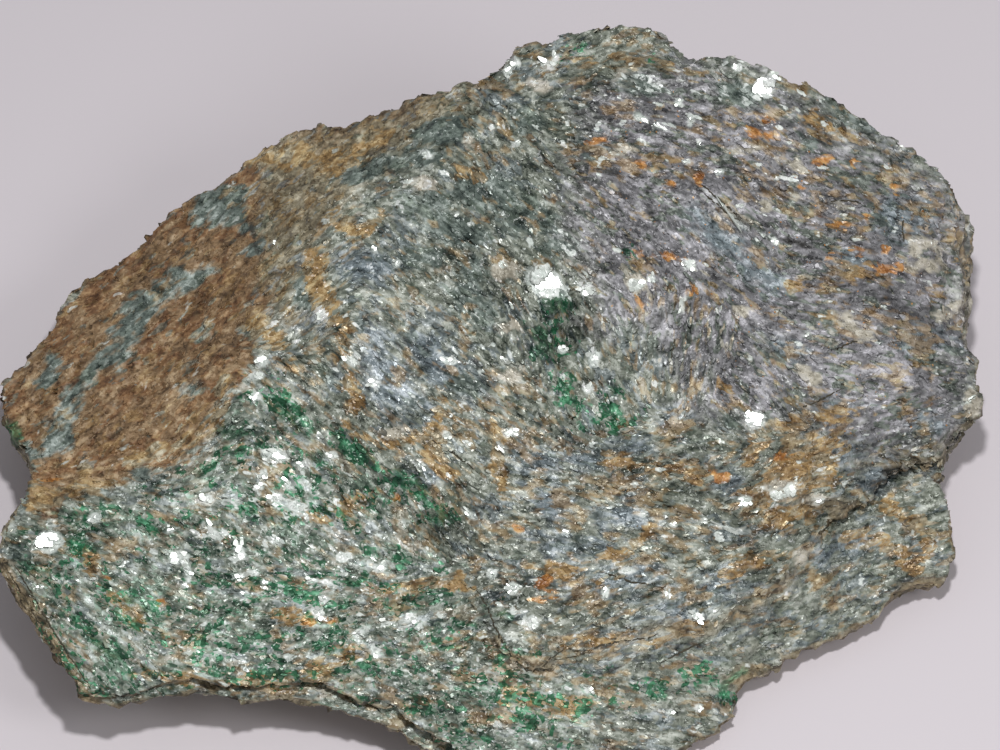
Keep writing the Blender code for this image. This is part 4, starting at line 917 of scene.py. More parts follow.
def relief_tree():
    """Raises tilted scales and a fine crumple on the skin, and leaves its foot flat."""
    build, take, outlet = new_group(
        "Rock relief",
        "GeometryNodeTree",
        [("Geometry", GEOMETRY), ("Height", FLOAT, 0.35 * MM), ("Material", MATERIAL)],
        [("Geometry", GEOMETRY)],
    )
    place = build.add("GeometryNodeInputPosition").outputs[0]
    turn = build.field("turn", "FLOAT_VECTOR")
    flat = build.vector("MULTIPLY", place, RELIEF_FLATTEN)
    lump = build.math("SUBTRACT", build.noise(flat, LUMP_SCALE, 3.0, 0.6)[0], 0.5)
    height = build.times(lump, LUMP_HEIGHT)
    for fine, stretch, detail, high in RIPPLES:
        ripple = build.parts(streaks(build, place, turn, fine, stretch, detail))[0]
        height = build.line(ripple, high, height)
    cell = build.cells(flat, SCALE_SIZE)
    from_middle = build.vector("SUBTRACT", flat, cell["Position"])
    tilt = build.vector("DOT_PRODUCT", build.centred(cell["Color"]), from_middle)
    height = build.times(height, take["Height"])
    height = build.math("ADD", height, build.times(tilt, SCALE_TILT))
    height = build.times(height, build.rise(build.parts(place)[2], *RELIEF_FOOT))
    offset = build.scaled(build.field("outward", "FLOAT_VECTOR"), height)
    geometry = take["Geometry"]
    for name, value in (
        ("drift", streaks(build, place, turn, *DRIFT)),
        ("broad", build.noise(place, BROAD_SCALE)["Color"]),
        ("bunch", build.noise(place, BUNCH_SCALE, BUNCH_DETAIL)["Color"]),
    ):
        geometry = build.store(geometry, name, value, "FLOAT_VECTOR")
    moved = build.add("GeometryNodeSetPosition", {"Geometry": geometry, "Offset": offset})
    finished = build.add(
        "GeometryNodeSetMaterial",
        {"Geometry": moved.outputs[0], "Material": take["Material"]},
    )
    build.feed(outlet, {0: finished.outputs[0]})
    return build.tree


def keep_above_floor(mesh):
    places = read(mesh.vertices, "co")
    places[:, 2] = np.maximum(places[:, 2], 0)
    write(mesh.vertices, "co", places)
    mesh.update()


def move_rims(mesh):
    """Moves the stretches of rim in RIM_SHIFTS, across and up in the leaning plane."""
    places = read(mesh.vertices, "co")
    plane = LeaningPlane(places)
    for a, u, reach_across, reach_up, shift_across, shift_up in RIM_SHIFTS:
        near = np.hypot((plane.across - a) / reach_across, (plane.up - u) / reach_up)
        share = np.clip(1 - near**2, 0, 1) ** 2
        places[:, 0] += share * shift_across * MM
        places[:, 1] += share * shift_up / math.sin(LEAN) * MM
    write(mesh.vertices, "co", places)
    mesh.update()


def skin_mesh():
    """The block's own mesh, merged, cut finer and softened, with its fields."""
    merged = bmesh.new()
    merged.from_mesh(frame["nodes"][NODE].data)
    bmesh.ops.remove_doubles(merged, verts=merged.verts, dist=MERGE_GAP)
    for layer in list(merged.loops.layers.uv.values()):
        merged.loops.layers.uv.remove(layer)
    start = bpy.data.meshes.new("skin_start")
    merged.to_mesh(start)
    merged.free()
    start.materials.clear()
    settings = {"Cuts": sizes().skin_cuts, "Rounds": sizes().skin_softening}
    soft = with_tree(start, "skin_soft", softening_tree(), settings)
    keep_above_floor(soft)
    move_rims(soft)
    paint_fields(soft)
    return soft


# Leaves -----------------------------------------------------------------------

BAKE_MAP = "OFBake"
GRAIN_MAP = "LeafGrain"
OUTLINES = 10
SHAPE_SEEDS = {4: 40, 5: 70, 6: 90}  # by the corners of a leaf
BEND_SEED = 5000
LEAF_REACH = 0.56
CORNER_STRAY = 0.28
LEAF_BEND = 0.35
LEAF_TOP_SHARE = 0.9
MOST_TRIANGLES = 200_000

# A leaf's cell of the map: its two faces side by side over a strip for its rim.
FACE_MIDDLES = {"top": 0.26, "foot": 0.76}
FACE_HALF, FACE_HIGH, FACE_STRETCH = 0.24, 0.62, 1.2
RIM_START, RIM_SPAN = 0.03, 0.94
RIM_FOOT, RIM_TOP = 0.136, 0.04
CELL_SPACING = 3.7

# Layers of leaves: name, corners, leaves to the square millimetre, seed, size, the shortest leaf
# to the longest, thickness in mm, tilt, tilt of a whole flock, and share left on weathered rock.
LEAF_LAYERS = (
    ("large_leaves", 6, 0.50, 101, "large_leaf", 0.45, 0.13, 0.24, 0.24, 0.15),
    ("medium_leaves_a", 5, 0.60, 202, "medium_leaf", 0.4, 0.11, 0.34, 0.24, 0.6),
    ("medium_leaves_b", 5, 0.60, 303, "medium_leaf", 0.4, 0.11, 0.34, 0.24, 0.6),
    ("small_leaves_a", 4, 0.72, 404, "small_leaf", 0.4, 0.09, 0.5, 0.18, 1.0),
    ("small_leaves_b", 4, 0.72, 505, "small_leaf", 0.4, 0.09, 0.5, 0.18, 1.0),
)
FLOCK_GAIN = 3.0
WEATHERED_CALM = -0.6
GRAIN_STRAY = 0.45
SIZE_BIAS = 1.8  # above 1, more leaves are short
LEAF_WIDTHS = (0.28, 0.62)
SIDE_SINK = -0.36
SINK = 0.02 * MM

# Added to a layer's seed for each thing that is drawn by chance.
TILT_SEED, STRAY_SEED, LENGTH_SEED, WIDTH_SEED, SHAPE_SEED = 11, 12, 13, 14, 17
CARRIED_SEEDS = {"tone": 15, "kind": 16, "shine": 18}


def leaf_outline(corners, seed, least=0.4):
    """Corners of an irregular leaf about one unit long and one wide."""
    draw = random.Random(seed)
    turn = draw.uniform(0.0, math.tau)
    ring = []
    for n in range(corners):
        angle = turn + math.tau * (n + draw.uniform(-CORNER_STRAY, CORNER_STRAY)) / corners
        reach = draw.uniform(least, LEAF_REACH)
        ring.append((reach * math.cos(angle), reach * math.sin(angle)))
    return ring


def leaf_mesh(name, corners, seed):
    """A thin closed leaf with a slightly bent face, one unit long, wide and thick."""
    draw = random.Random(seed + BEND_SEED)
    ring = leaf_outline(corners, seed)
    build = bmesh.new()
    top = [
        build.verts.new(
            (a * LEAF_TOP_SHARE, b * LEAF_TOP_SHARE, 0.5 + draw.uniform(-LEAF_BEND, LEAF_BEND))
        )
        for a, b in ring
    ]
    foot = [build.verts.new((a, b, -0.5)) for a, b in ring]
    fans = [(0, n, n + 1) for n in range(1, corners - 1)]
    faces = [("top", [top[n] for n in fan]) for fan in fans]
    faces += [("foot", [foot[fan[n]] for n in (0, 2, 1)]) for fan in fans]
    for n in range(corners):
        m = (n + 1) % corners
        faces += [("rim", (foot[n], foot[m], top[m])), ("rim", (foot[n], top[m], top[n]))]
    layer = build.loops.layers.uv.new(BAKE_MAP)
    build.verts.index_update()
    for part, verts in faces:
        face = build.faces.new(verts)
        numbers = {vert.index % corners for vert in verts}
        closes = part == "rim" and numbers == {0, corners - 1}
        for loop in face.loops:
            x, y, _ = loop.vert.co
            if part == "rim":
                number = loop.vert.index % corners
                number = corners if closes and number == 0 else number
                high = RIM_FOOT if loop.vert.index < corners else RIM_TOP
                loop[layer].uv = (RIM_START + RIM_SPAN * number / corners, high)
            else:
                scale = FACE_HALF / LEAF_REACH
                loop[layer].uv = (
                    FACE_MIDDLES[part] + x * scale, FACE_HIGH + y * scale * FACE_STRETCH
                )
    mesh = bpy.data.meshes.new(name)
    build.to_mesh(mesh)
    build.free()
    return mesh


def leaf_collection(name, corners):
    """A hidden collection of leaves to pick from."""
    collection = bpy.data.collections.new(name)
    for n in range(OUTLINES):
        leaf = leaf_mesh(f"{name}_{n:02d}", corners, SHAPE_SEEDS[corners] + n)
        collection.objects.link(bpy.data.objects.new(leaf.name, leaf))
    return collection


def leaf_tree():
    """Strews leaves of mica over the skin, each along the grain and lying nearly flat."""
    build, take, outlet = new_group(
        "Mica leaves",
        "GeometryNodeTree",
        [
            ("Geometry", GEOMETRY),
            ("Leaves", COLLECTION),
            ("Per Area", FLOAT, 1e6),
            ("Seed", WHOLE, 1),
            ("Longest", FLOAT, 2.0 * MM),
            ("Shortest Share", FLOAT, 0.4),
            ("Thickness", FLOAT, 0.1 * MM),
            ("Tilt", FLOAT, 0.25),
            ("Flock Tilt", FLOAT, 0.25),
            ("Flock Scale", FLOAT, 250.0),
            ("Sink", FLOAT, 0.05 * MM),
            ("Weathered Share", FLOAT, 0.3),
            ("Material", MATERIAL),
        ],
        [("Geometry", GEOMETRY)],
    )

    def drawn(kind, number, feeds, output):
        seed = build.math("ADD", take["Seed"], number)
        node = build.add("FunctionNodeRandomValue", {**feeds, 8: seed}, data_type=kind)
        return node.outputs[output]

    def chance(low, high, number):
        return drawn("FLOAT", number, {2: low, 3: high}, 1)

    def any_way(number):
        return drawn("FLOAT_VECTOR", number, {0: (-1.0,) * 3, 1: (1.0,) * 3}, 0)

    weathered = build.field("weathered")
    thinned = build.times(weathered, build.math("SUBTRACT", 1.0, take["Weathered Share"]))
    density = build.times(build.field("cover"), build.math("SUBTRACT", 1.0, thinned))
    points = build.add(
        "GeometryNodeDistributePointsOnFaces",
        {
            "Mesh": take["Geometry"],
            "Density": build.times(density, take["Per Area"]),
            "Seed": take["Seed"],
        },
        distribute_method="RANDOM",
    ).outputs["Points"]
    place = build.add("GeometryNodeInputPosition").outputs[0]
    flock = build.centred(build.noise(place, take["Flock Scale"], 1.0)["Color"])
    lie = build.field("lie", "FLOAT_VECTOR")
    lie = build.moved(lie, flock, build.times(take["Flock Tilt"], FLOCK_GAIN))
    tilt = build.times(take["Tilt"], build.line(weathered, WEATHERED_CALM, 1.0))
    lie = build.vector("NORMALIZE", build.moved(lie, any_way(TILT_SEED), tilt))
    run = build.moved(build.field("grain", "FLOAT_VECTOR"), any_way(STRAY_SEED), GRAIN_STRAY)
    turned = build.add(
        "FunctionNodeAxesToRotation", {0: lie, 1: run}, primary_axis="Z", secondary_axis="X"
    ).outputs[0]
    share = build.math("POWER", chance(0.0, 1.0, LENGTH_SEED), SIZE_BIAS)
    long = build.times(take["Longest"], build.spread(share, take["Shortest Share"], 1.0))
    wide = build.times(long, chance(*LEAF_WIDTHS, WIDTH_SEED))
    size = build.add("ShaderNodeCombineXYZ", {0: long, 1: wide, 2: take["Thickness"]}).outputs[0]
    down = build.scaled(lie, build.times(take["Sink"], -1.0))
    inward = build.times(build.times(wide, build.field("side")), SIDE_SINK)
    sunk = build.add(
        "GeometryNodeSetPosition",
        {
            "Geometry": points,
            "Offset": build.moved(down, build.field("outward", "FLOAT_VECTOR"), inward),
        },
    ).outputs[0]
    for name, number in CARRIED_SEEDS.items():
        sunk = build.store(sunk, name, chance(0.0, 1.0, number))
    leaves = build.add(
        "GeometryNodeCollectionInfo",
        {"Collection": take["Leaves"], "Separate Children": True, "Reset Children": True},
    ).outputs[0]
    placed = build.add(
        "GeometryNodeInstanceOnPoints",
        {
            "Points": sunk,
            "Instance": leaves,
            "Pick Instance": True,
            "Instance Index": drawn("INT", SHAPE_SEED, {4: 0, 5: OUTLINES - 1}, 2),
            "Rotation": turned,
            "Scale": size,
        },
    ).outputs[0]
    real = build.add("GeometryNodeRealizeInstances", {0: placed}).outputs[0]
    finished = build.add(
        "GeometryNodeSetMaterial", {"Geometry": real, "Material": take["Material"]}
    )
    build.feed(outlet, {0: finished.outputs[0]})
    return build.tree


def spread_maps(mesh, corners, length):
    """Gives each leaf its own cell of the map, and a second map in leaf lengths for its streaks."""
    loops_each = 3 * (4 * corners - 4)
    count = len(mesh.loops) // loops_each
    if count * loops_each != len(mesh.loops):
        raise RuntimeError(f"{mesh.name} isn't made of whole leaves")
    side = math.ceil(math.sqrt(count))
    layer = mesh.uv_layers[BAKE_MAP].uv
    flat = read(layer, "vector", 2)
    number = np.arange(len(flat)) // loops_each
    cell = np.stack([number % side, number // side], 1)
    write(layer, "vector", (cell + flat) / side)
    second = mesh.uv_layers.new(name=GRAIN_MAP)
    write(second.uv, "vector", (cell * CELL_SPACING + flat) * (length / MM))
    return count


# Finish -----------------------------------------------------------------------

# Patches of another finish in each kind of rock: which drift, from, to, share and finish.
MOTTLES = {
    "ground": (
        (0, 0.02, 0.13, 0.7, "moss"), (1, 0.0, 0.12, 0.6, "blue"), (2, 0.07, 0.17, 0.5, "ochre"),
    ),
    "silver": (
        (0, 0.02, 0.11, 0.75, "moss"), (1, 0.15, 0.22, 0.6, "cream"), (2, 0.11, 0.2, 0.5, "ochre"),
    ),
    "blue": ((0, 0.05, 0.15, 0.6, "moss"),),
    "cleaved": (
        (0, -0.02, 0.14, 0.4, "emerald"), (2, 0.03, 0.13, 0.55, "tan"),
        (0, -0.08, -0.17, 0.5, "blue"),
    ),
    "brown": (
        (0, -0.04, 0.06, 0.8, "russet"), (1, 0.08, 0.17, 0.6, "ochre"),
        (2, 0.12, 0.19, 0.6, "teal"),
    ),
    "olive": (
        (0, 0.03, 0.12, 0.6, "moss"), (1, 0.05, 0.15, 0.6, "ochre"), (2, 0.08, 0.16, 0.6, "blue"),
    ),
    "teal": ((0, 0.07, 0.16, 0.6, "moss"),),
    "ochre": ((0, 0.03, 0.13, 0.5, "ground"),),
}
# Kinds of rock laid over the ground in turn: field, finish, and how ragged and soft the edge is.
LAID = (
    ("dome", "silver", 1.2, 0.4), ("blue", "blue", 1.6, 0.4), ("cleaved", "cleaved", 1.1, 0.2),
    ("weathered", "brown", 1.2, 0.15), ("olive", "olive", 1.2, 0.35), ("teal", "teal", 1.4, 0.25),
    ("ochre", "ochre", 2.0, 0.2),
)
# Small marks: how ragged and how soft their edge is, and how strong they are.
MARKS = {
    "lamina": (0.5, 0.3, 0.9), "cream": (0.9, 0.2, 1.0), "deep": (1.3, 0.3, 0.65),
    "rust": (2.0, 0.25, 0.85), "spark": (0.8, 0.25, 1.0), "crack": (0.8, 0.25, 0.7),
}
WANDER_MOTTLE = 0.85
STRAY_REACH = 0.3  # how near a field a stray patch of it may lie
STAIN_GAIN, STAIN_DRIFT, STAIN_FROM, STAIN_TO, STAIN_SHARE = 0.12, 0.6, 0.62, 0.8, 0.6
SIDE_SHARE, SIDE_ON_DOME = 0.75, -0.6
CRISP = 8.0  # how sharply one leaf differs from the next
GREEN_FIELD, GREEN_BASE, GREEN_DRIFT, GREEN_KIND, GREEN_SHARE = 0.62, -0.31, 1.5, -0.5, 0.92
SPECK_LEVEL, SPECK_ON_DOME, SPECK_FADE, SPECK_SHARE = 0.99, -0.03, 0.04, 0.8
DULLED = -0.8
LIVELY_FROM, LIVELY_TO = 0.4, 0.6
# Painted glints: how the white bursts, flashes and flecks are painted into the colour.
BURST_WANDER, BURST_SHINE, BURST_BRIGHT, BURST_FROM, BURST_TO = 0.6, -0.06, 0.115, 0.68, 0.75
FLASH_LIVELY, FLASH_BASE, FLASH_DRIFT, FLASH_SHINE = 0.36, -0.34, -1.3, -0.5
GLINT_FLECKS, GLINT_FLECKS_WEATHERED, GLINT_FLECKS_LIVELY = 0.015, 0.02, 0.12
PAINTED_GLINT_DULL, PAINTED_GLINT_FULL = 0.4, 0.9
GLOSS_ON_DOME = -0.3
GRAIN_STREAKS = (1100.0, 2.6, 1.0, 0.7)  # waves per metre, stretch, detail and roughness
PAINTED_LIGHT_RANGE = 0.38
BROAD_TONE, DRIFT_TONE = 0.5, -0.45
STREAK_SHARE, STREAK_KIND, STREAK_STAIN = 1.4, 0.5, 0.8
FLECK_SCALE, FLECK_BEND, FLECK_RIM, FLECK_HEART = 2100.0, 0.6 * MM, 0.62, 0.3
COARSE_GRAINS, FINE_GRAINS, LEAF_GRAINS = (1000.0, 0.5), (2900.0, 0.55), (3000.0, 0.42)
GRAIN_WARP_SCALE, GRAIN_WARP = 0.7, 1.2
LEAF_LINES = (2.5, 10.0, 1.0)
PATTERN_SOCKETS = ("Tone", "Kind", "Wander", "Stain", "Fleck", "Speck")


@built_once("Three tones")
def three_tones_group(name):
    build, take, outlet = new_group(
        name,
        "ShaderNodeTree",
        [("Tone", FLOAT, 0.5), ("Dark", COLOUR), ("Middle", COLOUR), ("Light", COLOUR)],
        [("Colour", COLOUR)],
    )
    low = build.times(take["Tone"], 2.0, clamp=True)
    high = build.line(take["Tone"], 2.0, -1.0, clamp=True)
    colour = build.mix(low, take["Dark"], take["Middle"])
    build.feed(outlet, {0: build.mix(high, colour, take["Light"])})
    return build.tree


@built_once("Schist colour")
def schist_group(name):
    """Colour and gloss of the rock at a place, for a leaf or grain of a given tone and kind, with
    painted glints and painted shade in its cracks.
    """
    build, take, outlet = new_group(
        name,
        "ShaderNodeTree",
        [(label, FLOAT, 0.5) for label in ("Tone", "Kind", "Shine")]
        + [(label, FLOAT, 0.0) for label in PATTERN_SOCKETS[2:]],
        [("Colour", COLOUR), ("Gloss", FLOAT), ("Glint", FLOAT)],
    )
    drift, broad, bunch = (
        build.parts(build.painted(label, "Vector")) for label in ("drift", "broad", "bunch")
    )
    wander = build.math("ADD", take["Wander"], build.math("SUBTRACT", broad[0], 0.5))
    finishes = {}

    def toned(finish):
        if finish not in finishes:
            tones = {
                shade.title(): opaque(getattr(colours(), f"{finish}_{shade}")) for shade in SHADES
            }
            feeds = {"Tone": take["Tone"], **tones}
            finishes[finish] = build.group(three_tones_group(), feeds)[0]
        return finishes[finish]

    def mottled(base):
        colour = toned(base)
        for channel, low, high, share, finish in MOTTLES[base]:
            moved = build.line(take["Wander"], WANDER_MOTTLE, drift[channel])
            patch = build.times(build.rise(moved, low, high), share)
            colour = build.mix(patch, colour, toned(finish))
        return colour

    def mask(label, ragged, soft):
        near = build.painted(label)
        stray = build.times(wander, build.rise(near, 0.0, STRAY_REACH))
        return build.rise(build.line(stray, ragged, near), 0.5 - soft, 0.5 + soft)

    def mark(label):
        ragged, soft, strength = MARKS[label]
        return build.times(mask(label, ragged, soft), strength)

    colour = mottled("ground")
    masks = {}
    for label, finish, ragged, soft in LAID:
        masks[label] = mask(label, ragged, soft)
        colour = build.mix(masks[label], colour, mottled(finish))
    seep = build.line(build.painted("stained"), STAIN_GAIN, take["Stain"])
    seep = build.math("ADD", seep, build.line(drift[2], STAIN_DRIFT, broad[1]))
    seep = build.times(build.rise(seep, STAIN_FROM, STAIN_TO), STAIN_SHARE)
    colour = build.mix(seep, colour, toned("ochre"))
    edge = build.line(masks["dome"], SIDE_ON_DOME, SIDE_SHARE)
    edge = build.times(build.painted("side"), edge)
    colour = build.mix(edge, colour, toned("edge"))
    colour = build.mix(mark("lamina"), colour, toned("edge"))
    colour = build.mix(mark("cream"), colour, toned("cream"))

    # Green mica: leaf by leaf, in drawn-out bunches.
    green = build.line(build.painted("emerald"), GREEN_FIELD, GREEN_BASE)
    green = build.line(drift[1], GREEN_DRIFT, green)
    green = build.line(take["Kind"], GREEN_KIND, green)
    green = build.times(build.times(green, CRISP, clamp=True), GREEN_SHARE)
    colour = build.mix(green, colour, toned("emerald"))
    colour = build.mix(mark("deep"), colour, toned("emerald"))
    colour = build.mix(mark("rust"), colour, toned("rust"))
    few = build.line(masks["dome"], SPECK_ON_DOME, SPECK_LEVEL)
    speck = build.rise(build.math("SUBTRACT", take["Speck"], few), 0.0, SPECK_FADE)
    colour = build.mix(build.times(speck, SPECK_SHARE), colour, toned("rust"))
    dulled = build.line(build.most(masks["weathered"], edge), DULLED, 1.0)

    # Painted glints: white flashes painted into the colour, leaf by leaf in bunches, and small
    # painted flecks of glint between them.
    bright = build.painted("bright")
    lively = build.times(bright, build.rise(bunch[0], LIVELY_FROM, LIVELY_TO))
    painted_burst = build.line(take["Wander"], BURST_WANDER, bunch[1])
    painted_burst = build.line(take["Shine"], BURST_SHINE, painted_burst)
    painted_burst = build.rise(build.line(bright, BURST_BRIGHT, painted_burst), BURST_FROM, BURST_TO)
    painted_flash = build.line(lively, FLASH_LIVELY, FLASH_BASE)
    painted_flash = build.line(drift[2], FLASH_DRIFT, painted_flash)
    painted_flash = build.line(take["Shine"], FLASH_SHINE, painted_flash)
    amount = build.line(masks["weathered"], GLINT_FLECKS_WEATHERED, GLINT_FLECKS)
    amount = build.line(lively, GLINT_FLECKS_LIVELY, amount)
    small = build.math("SUBTRACT", take["Fleck"], build.math("SUBTRACT", 1.0, amount))
    painted_glint = build.most(
        build.times(painted_flash, CRISP, clamp=True), build.times(small, CRISP, clamp=True)
    )
    painted_glint = build.most(build.most(painted_glint, painted_burst), mark("spark"))
    painted_glint = build.times(painted_glint, build.spread(dulled, PAINTED_GLINT_DULL, PAINTED_GLINT_FULL))
    # Painted glints: the mask mixes the colour towards near white.
    colour = build.mix(painted_glint, colour, toned("glint"))
    # Painted shade: the cracks darkened near black.
    colour = build.mix(mark("crack"), colour, opaque(CRACK_SHADOW_COLOUR))
    gloss = build.line(masks["dome"], GLOSS_ON_DOME, dulled)
    glint = build.times(build.most(lively, painted_glint), dulled)
    build.feed(outlet, {"Colour": colour, "Gloss": build.most(gloss, 0.0), "Glint": glint})
    return build.tree


@built_once("Grain cells")
def cell_group(name):
    """Random tones and a random tilt of the surface for each small grain."""
    build, take, outlet = new_group(
        name,
        "ShaderNodeTree",
        [("Place", VECTOR), ("Scale", FLOAT, 1500.0), ("Tilt", FLOAT, 0.5), ("Normal", VECTOR)],
        [("Tone", FLOAT), ("Kind", FLOAT), ("Shine", FLOAT), ("Normal", VECTOR)],
    )
    coarser = build.times(take["Scale"], GRAIN_WARP_SCALE)
    warp = build.centred(build.noise(take["Place"], coarser, 1.0)["Color"])
    place = build.moved(take["Place"], warp, build.math("DIVIDE", GRAIN_WARP, take["Scale"]))
    cell = build.cells(place, take["Scale"])["Color"]
    normal = build.moved(take["Normal"], build.centred(cell), take["Tilt"])
    chances = build.add("ShaderNodeSeparateColor", {0: cell}).outputs
    build.feed(outlet, {label: chances[n] for n, label in enumerate(("Tone", "Kind", "Shine"))})
    build.feed(outlet, {"Normal": build.vector("NORMALIZE", normal)})
    return build.tree


@built_once("Drawn-out grain")
def pattern_group(name):
    """The drawn-out tones of the rock with its painted shade and painted light, the wander of its
    patches, and its small flecks of painted glint and of rust.
    """
    build, take, outlet = new_group(
        name,
        "ShaderNodeTree",
        [("Place", VECTOR)],
        [(label, FLOAT) for label in PATTERN_SOCKETS],
    )
    turn, drift, broad = (build.painted(label, "Vector") for label in ("turn", "drift", "broad"))
    drawn = streaks(build, take["Place"], turn, *GRAIN_STREAKS)
    tone, kind, wander = build.parts(drawn)
    cell = build.cells(build.moved(take["Place"], drawn, FLECK_BEND), FLECK_SCALE)
    first, second, _ = build.add("ShaderNodeSeparateColor", {0: cell["Color"]}).outputs[:3]
    heart = build.rise(cell["Distance"], FLECK_RIM, FLECK_HEART)
    tone = build.line(build.math("SUBTRACT", build.parts(broad)[2], 0.5), BROAD_TONE, tone)
    # Painted shade and painted light from the level field darken and pale the tone.
    level = build.math("SUBTRACT", build.painted("level"), 0.5)
    tone = build.line(level, PAINTED_LIGHT_RANGE, tone)
    values = {
        "Tone": build.line(build.parts(drift)[1], DRIFT_TONE, tone),
        "Kind": kind,
        "Wander": wander,
        "Stain": build.times(kind, STREAK_STAIN),
        "Fleck": build.times(first, heart),
        "Speck": build.times(second, heart),
    }
    build.feed(outlet, values)
    return build.tree


def new_material(name):
    material = bpy.data.materials.new(name)
    material.use_nodes = True
    material.node_tree.nodes.clear()
    build = Tree(material.node_tree)
    shader = build.add("ShaderNodeBsdfPrincipled")
    outlet = build.add("ShaderNodeOutputMaterial", {"Surface": shader.outputs[0]})
    outlet.is_active_output = True
    return material, build, shader


def rock_nodes(build, place, tone, kind, shine):
    """Colour and gloss at a place, from a grain's own tone and kind and the drawn-out pattern."""
    pattern = build.group(pattern_group(), {0: place})
    feeds = {label: pattern[label] for label in PATTERN_SOCKETS[2:]}
    feeds["Tone"] = build.math("ADD", tone, build.times(pattern["Tone"], STREAK_SHARE), clamp=True)
    feeds["Kind"] = build.line(pattern["Kind"], STREAK_KIND, kind)
    feeds["Shine"] = shine
    return build.group(schist_group(), feeds), pattern["Tone"]


def cell_nodes(build, place, scale, tilt, normal):
    feeds = {"Place": place, "Scale": scale, "Tilt": tilt, "Normal": normal}
    return build.group(cell_group(), feeds)


def skin_material():
    material, build, shader = new_material("Schist ground")
    place = build.object_place()
    normal = build.add("ShaderNodeNewGeometry").outputs["Normal"]
    coarse = cell_nodes(build, place, *COARSE_GRAINS, normal)
    fine = cell_nodes(build, place, *FINE_GRAINS, coarse["Normal"])
    tone = build.math("SUBTRACT", build.spread(coarse["Tone"], 0.3, 0.6), 0.1)
    tone = build.line(fine["Tone"], 0.2, tone)
    rock, _ = rock_nodes(build, place, tone, coarse["Kind"], coarse["Shine"])
    build.feed(shader, {
        "Base Color": rock["Colour"],
        "Roughness": build.spread(rock["Gloss"], 0.65, 0.34),
        "Normal": fine["Normal"],
        "Specular IOR Level": 0.6,
    })
    return material


def leaf_material():
    material, build, shader = new_material("Mica leaf")
    place = build.object_place()
    streak_map = build.add("ShaderNodeUVMap", uv_map=GRAIN_MAP).outputs[0]
    streak_place = build.vector("MULTIPLY", streak_map, LEAF_LINES)
    lines = build.noise(streak_place, 1.0, 2.0, 0.7)[0]
    tone = build.spread(build.painted("tone"), 0.27, 0.73)
    tone = build.line(build.math("SUBTRACT", lines, 0.5), 0.5, tone)
    rock, streak = rock_nodes(build, place, tone, build.painted("kind"), build.painted("shine"))
    bump = build.add("ShaderNodeBump", {"Strength": 0.35, "Distance": 0.04 * MM, "Height": lines})
    facets = cell_nodes(build, place, *LEAF_GRAINS, bump.outputs[0])
    build.feed(shader, {
        "Base Color": rock["Colour"],
        "Roughness": build.line(streak, 0.25, build.spread(rock["Gloss"], 0.62, 0.34)),
        "Normal": facets["Normal"],
        "Coat Weight": build.times(rock["Glint"], 0.6),
        "Coat Roughness": 0.15,
        "Metallic": 0.25,
        "Specular IOR Level": 0.8,
    })
    return material


def book_material():
    material, build, shader = new_material("Bright mica book")
    sheen = build.noise(build.object_place(), 1800.0, 3.0, 0.6)[0]
    bump = build.add("ShaderNodeBump", {"Strength": 0.3, "Distance": 0.03 * MM, "Height": sheen})
    # Near-white base colour: a painted highlight on pale mica.
    build.feed(shader, {
        "Base Color": build.mix(sheen, *(opaque(display(*tone)) for tone in BOOK_GLINT_COLOURS)),
        "Roughness": build.spread(sheen, 0.16, 0.34),
        "Normal": bump.outputs[0],
        "Metallic": 0.35,
        "Specular IOR Level": 0.8,
    })
    return material


def edge_shadow_material():
    material, build, shader = new_material("Open plate edge")
    tone = build.noise(build.object_place(), 900.0, 2.0, 0.6)[0]
    # Dark tones: painted shadow under the plate ends.
    build.feed(shader, {
        "Base Color": build.mix(tone, *(opaque(display(*tone)) for tone in EDGE_SHADOW_COLOURS)),
        "Roughness": build.spread(tone, 0.6, 0.8),
    })
    return material


def floor_material():
    material, build, shader = new_material("Pale floor")
    tone = build.noise(build.object_place(), 3.0)[0]
    base = colours().floor
    darker = tuple(value * 0.97 for value in base)
    build.feed(shader, {
        "Base Color": build.mix(tone, opaque(darker), opaque(base)),
        "Roughness": 0.7,
    })
    return material


# Books and edges --------------------------------------------------------------

BOOK_SEED, BOOK_SHAPE_SEED, BOOK_SEED_STEP = 900, 60, 11
BOOK_CORNERS, BOOK_LEAST = 8, 0.36
BOOK_LEAVES, WHOLE_LEAVES = 5, 3
BIG_BOOK = 4.3  # a book of more square millimetres than this is whole
NEEDLE_WIDTH = 0.5
NEEDLE_LEAN = Vector((0.35, 0.3, 0.0))
WHOLE_LEAN, SHARD_LEAN = 0.03, 0.16
WHOLE_SLIDE, SHARD_SLIDE = 0.28, 0.5
WHOLE_TAPER, SHARD_SHARE = 0.12, 0.55
BOOK_TOP_SHARE = 0.95
LEAF_STEP, LEAF_STEP_LOW = 0.08, 0.6
LEAF_TOP, LEAF_FOOT = 0.08, -0.06

EDGE_SEED = 31
EDGE_STEP = 0.35
EDGE_STRAY = 0.09
EDGE_WIDTH = 0.32
EDGE_WIDTHS = (0.6, 1.2)
EDGE_RISE, EDGE_DEPTH = 0.1, -0.2


def on_skin(across, up):
    """The place on the rock's skin that is seen at a place on the leaning plane, or None."""
    skin = bpy.data.objects["rock_skin"]
    start = Vector((across - MIDDLE_ACROSS, up / math.sin(LEAN) - MIDDLE_BACK, 0.0)) * MM
    hit, place, _, _ = skin.ray_cast(start + VIEW * RAY_START, -VIEW)
    return place if hit else None


def bridge(build, first, second):
    """Closes the band between two rings of the same number of corners."""
    for n in range(len(first)):
        m = (n + 1) % len(first)
        build.faces.new((first[n], first[m], second[m], second[n]))


def place_piece(mesh, name):
    piece = show(mesh, name)
    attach(piece, BODY)


def finish_piece(build, name, material):
    mesh = bpy.data.meshes.new(name)
    build.to_mesh(mesh)
    build.free()
    mesh.materials.append(material)
    place_piece(mesh, name)


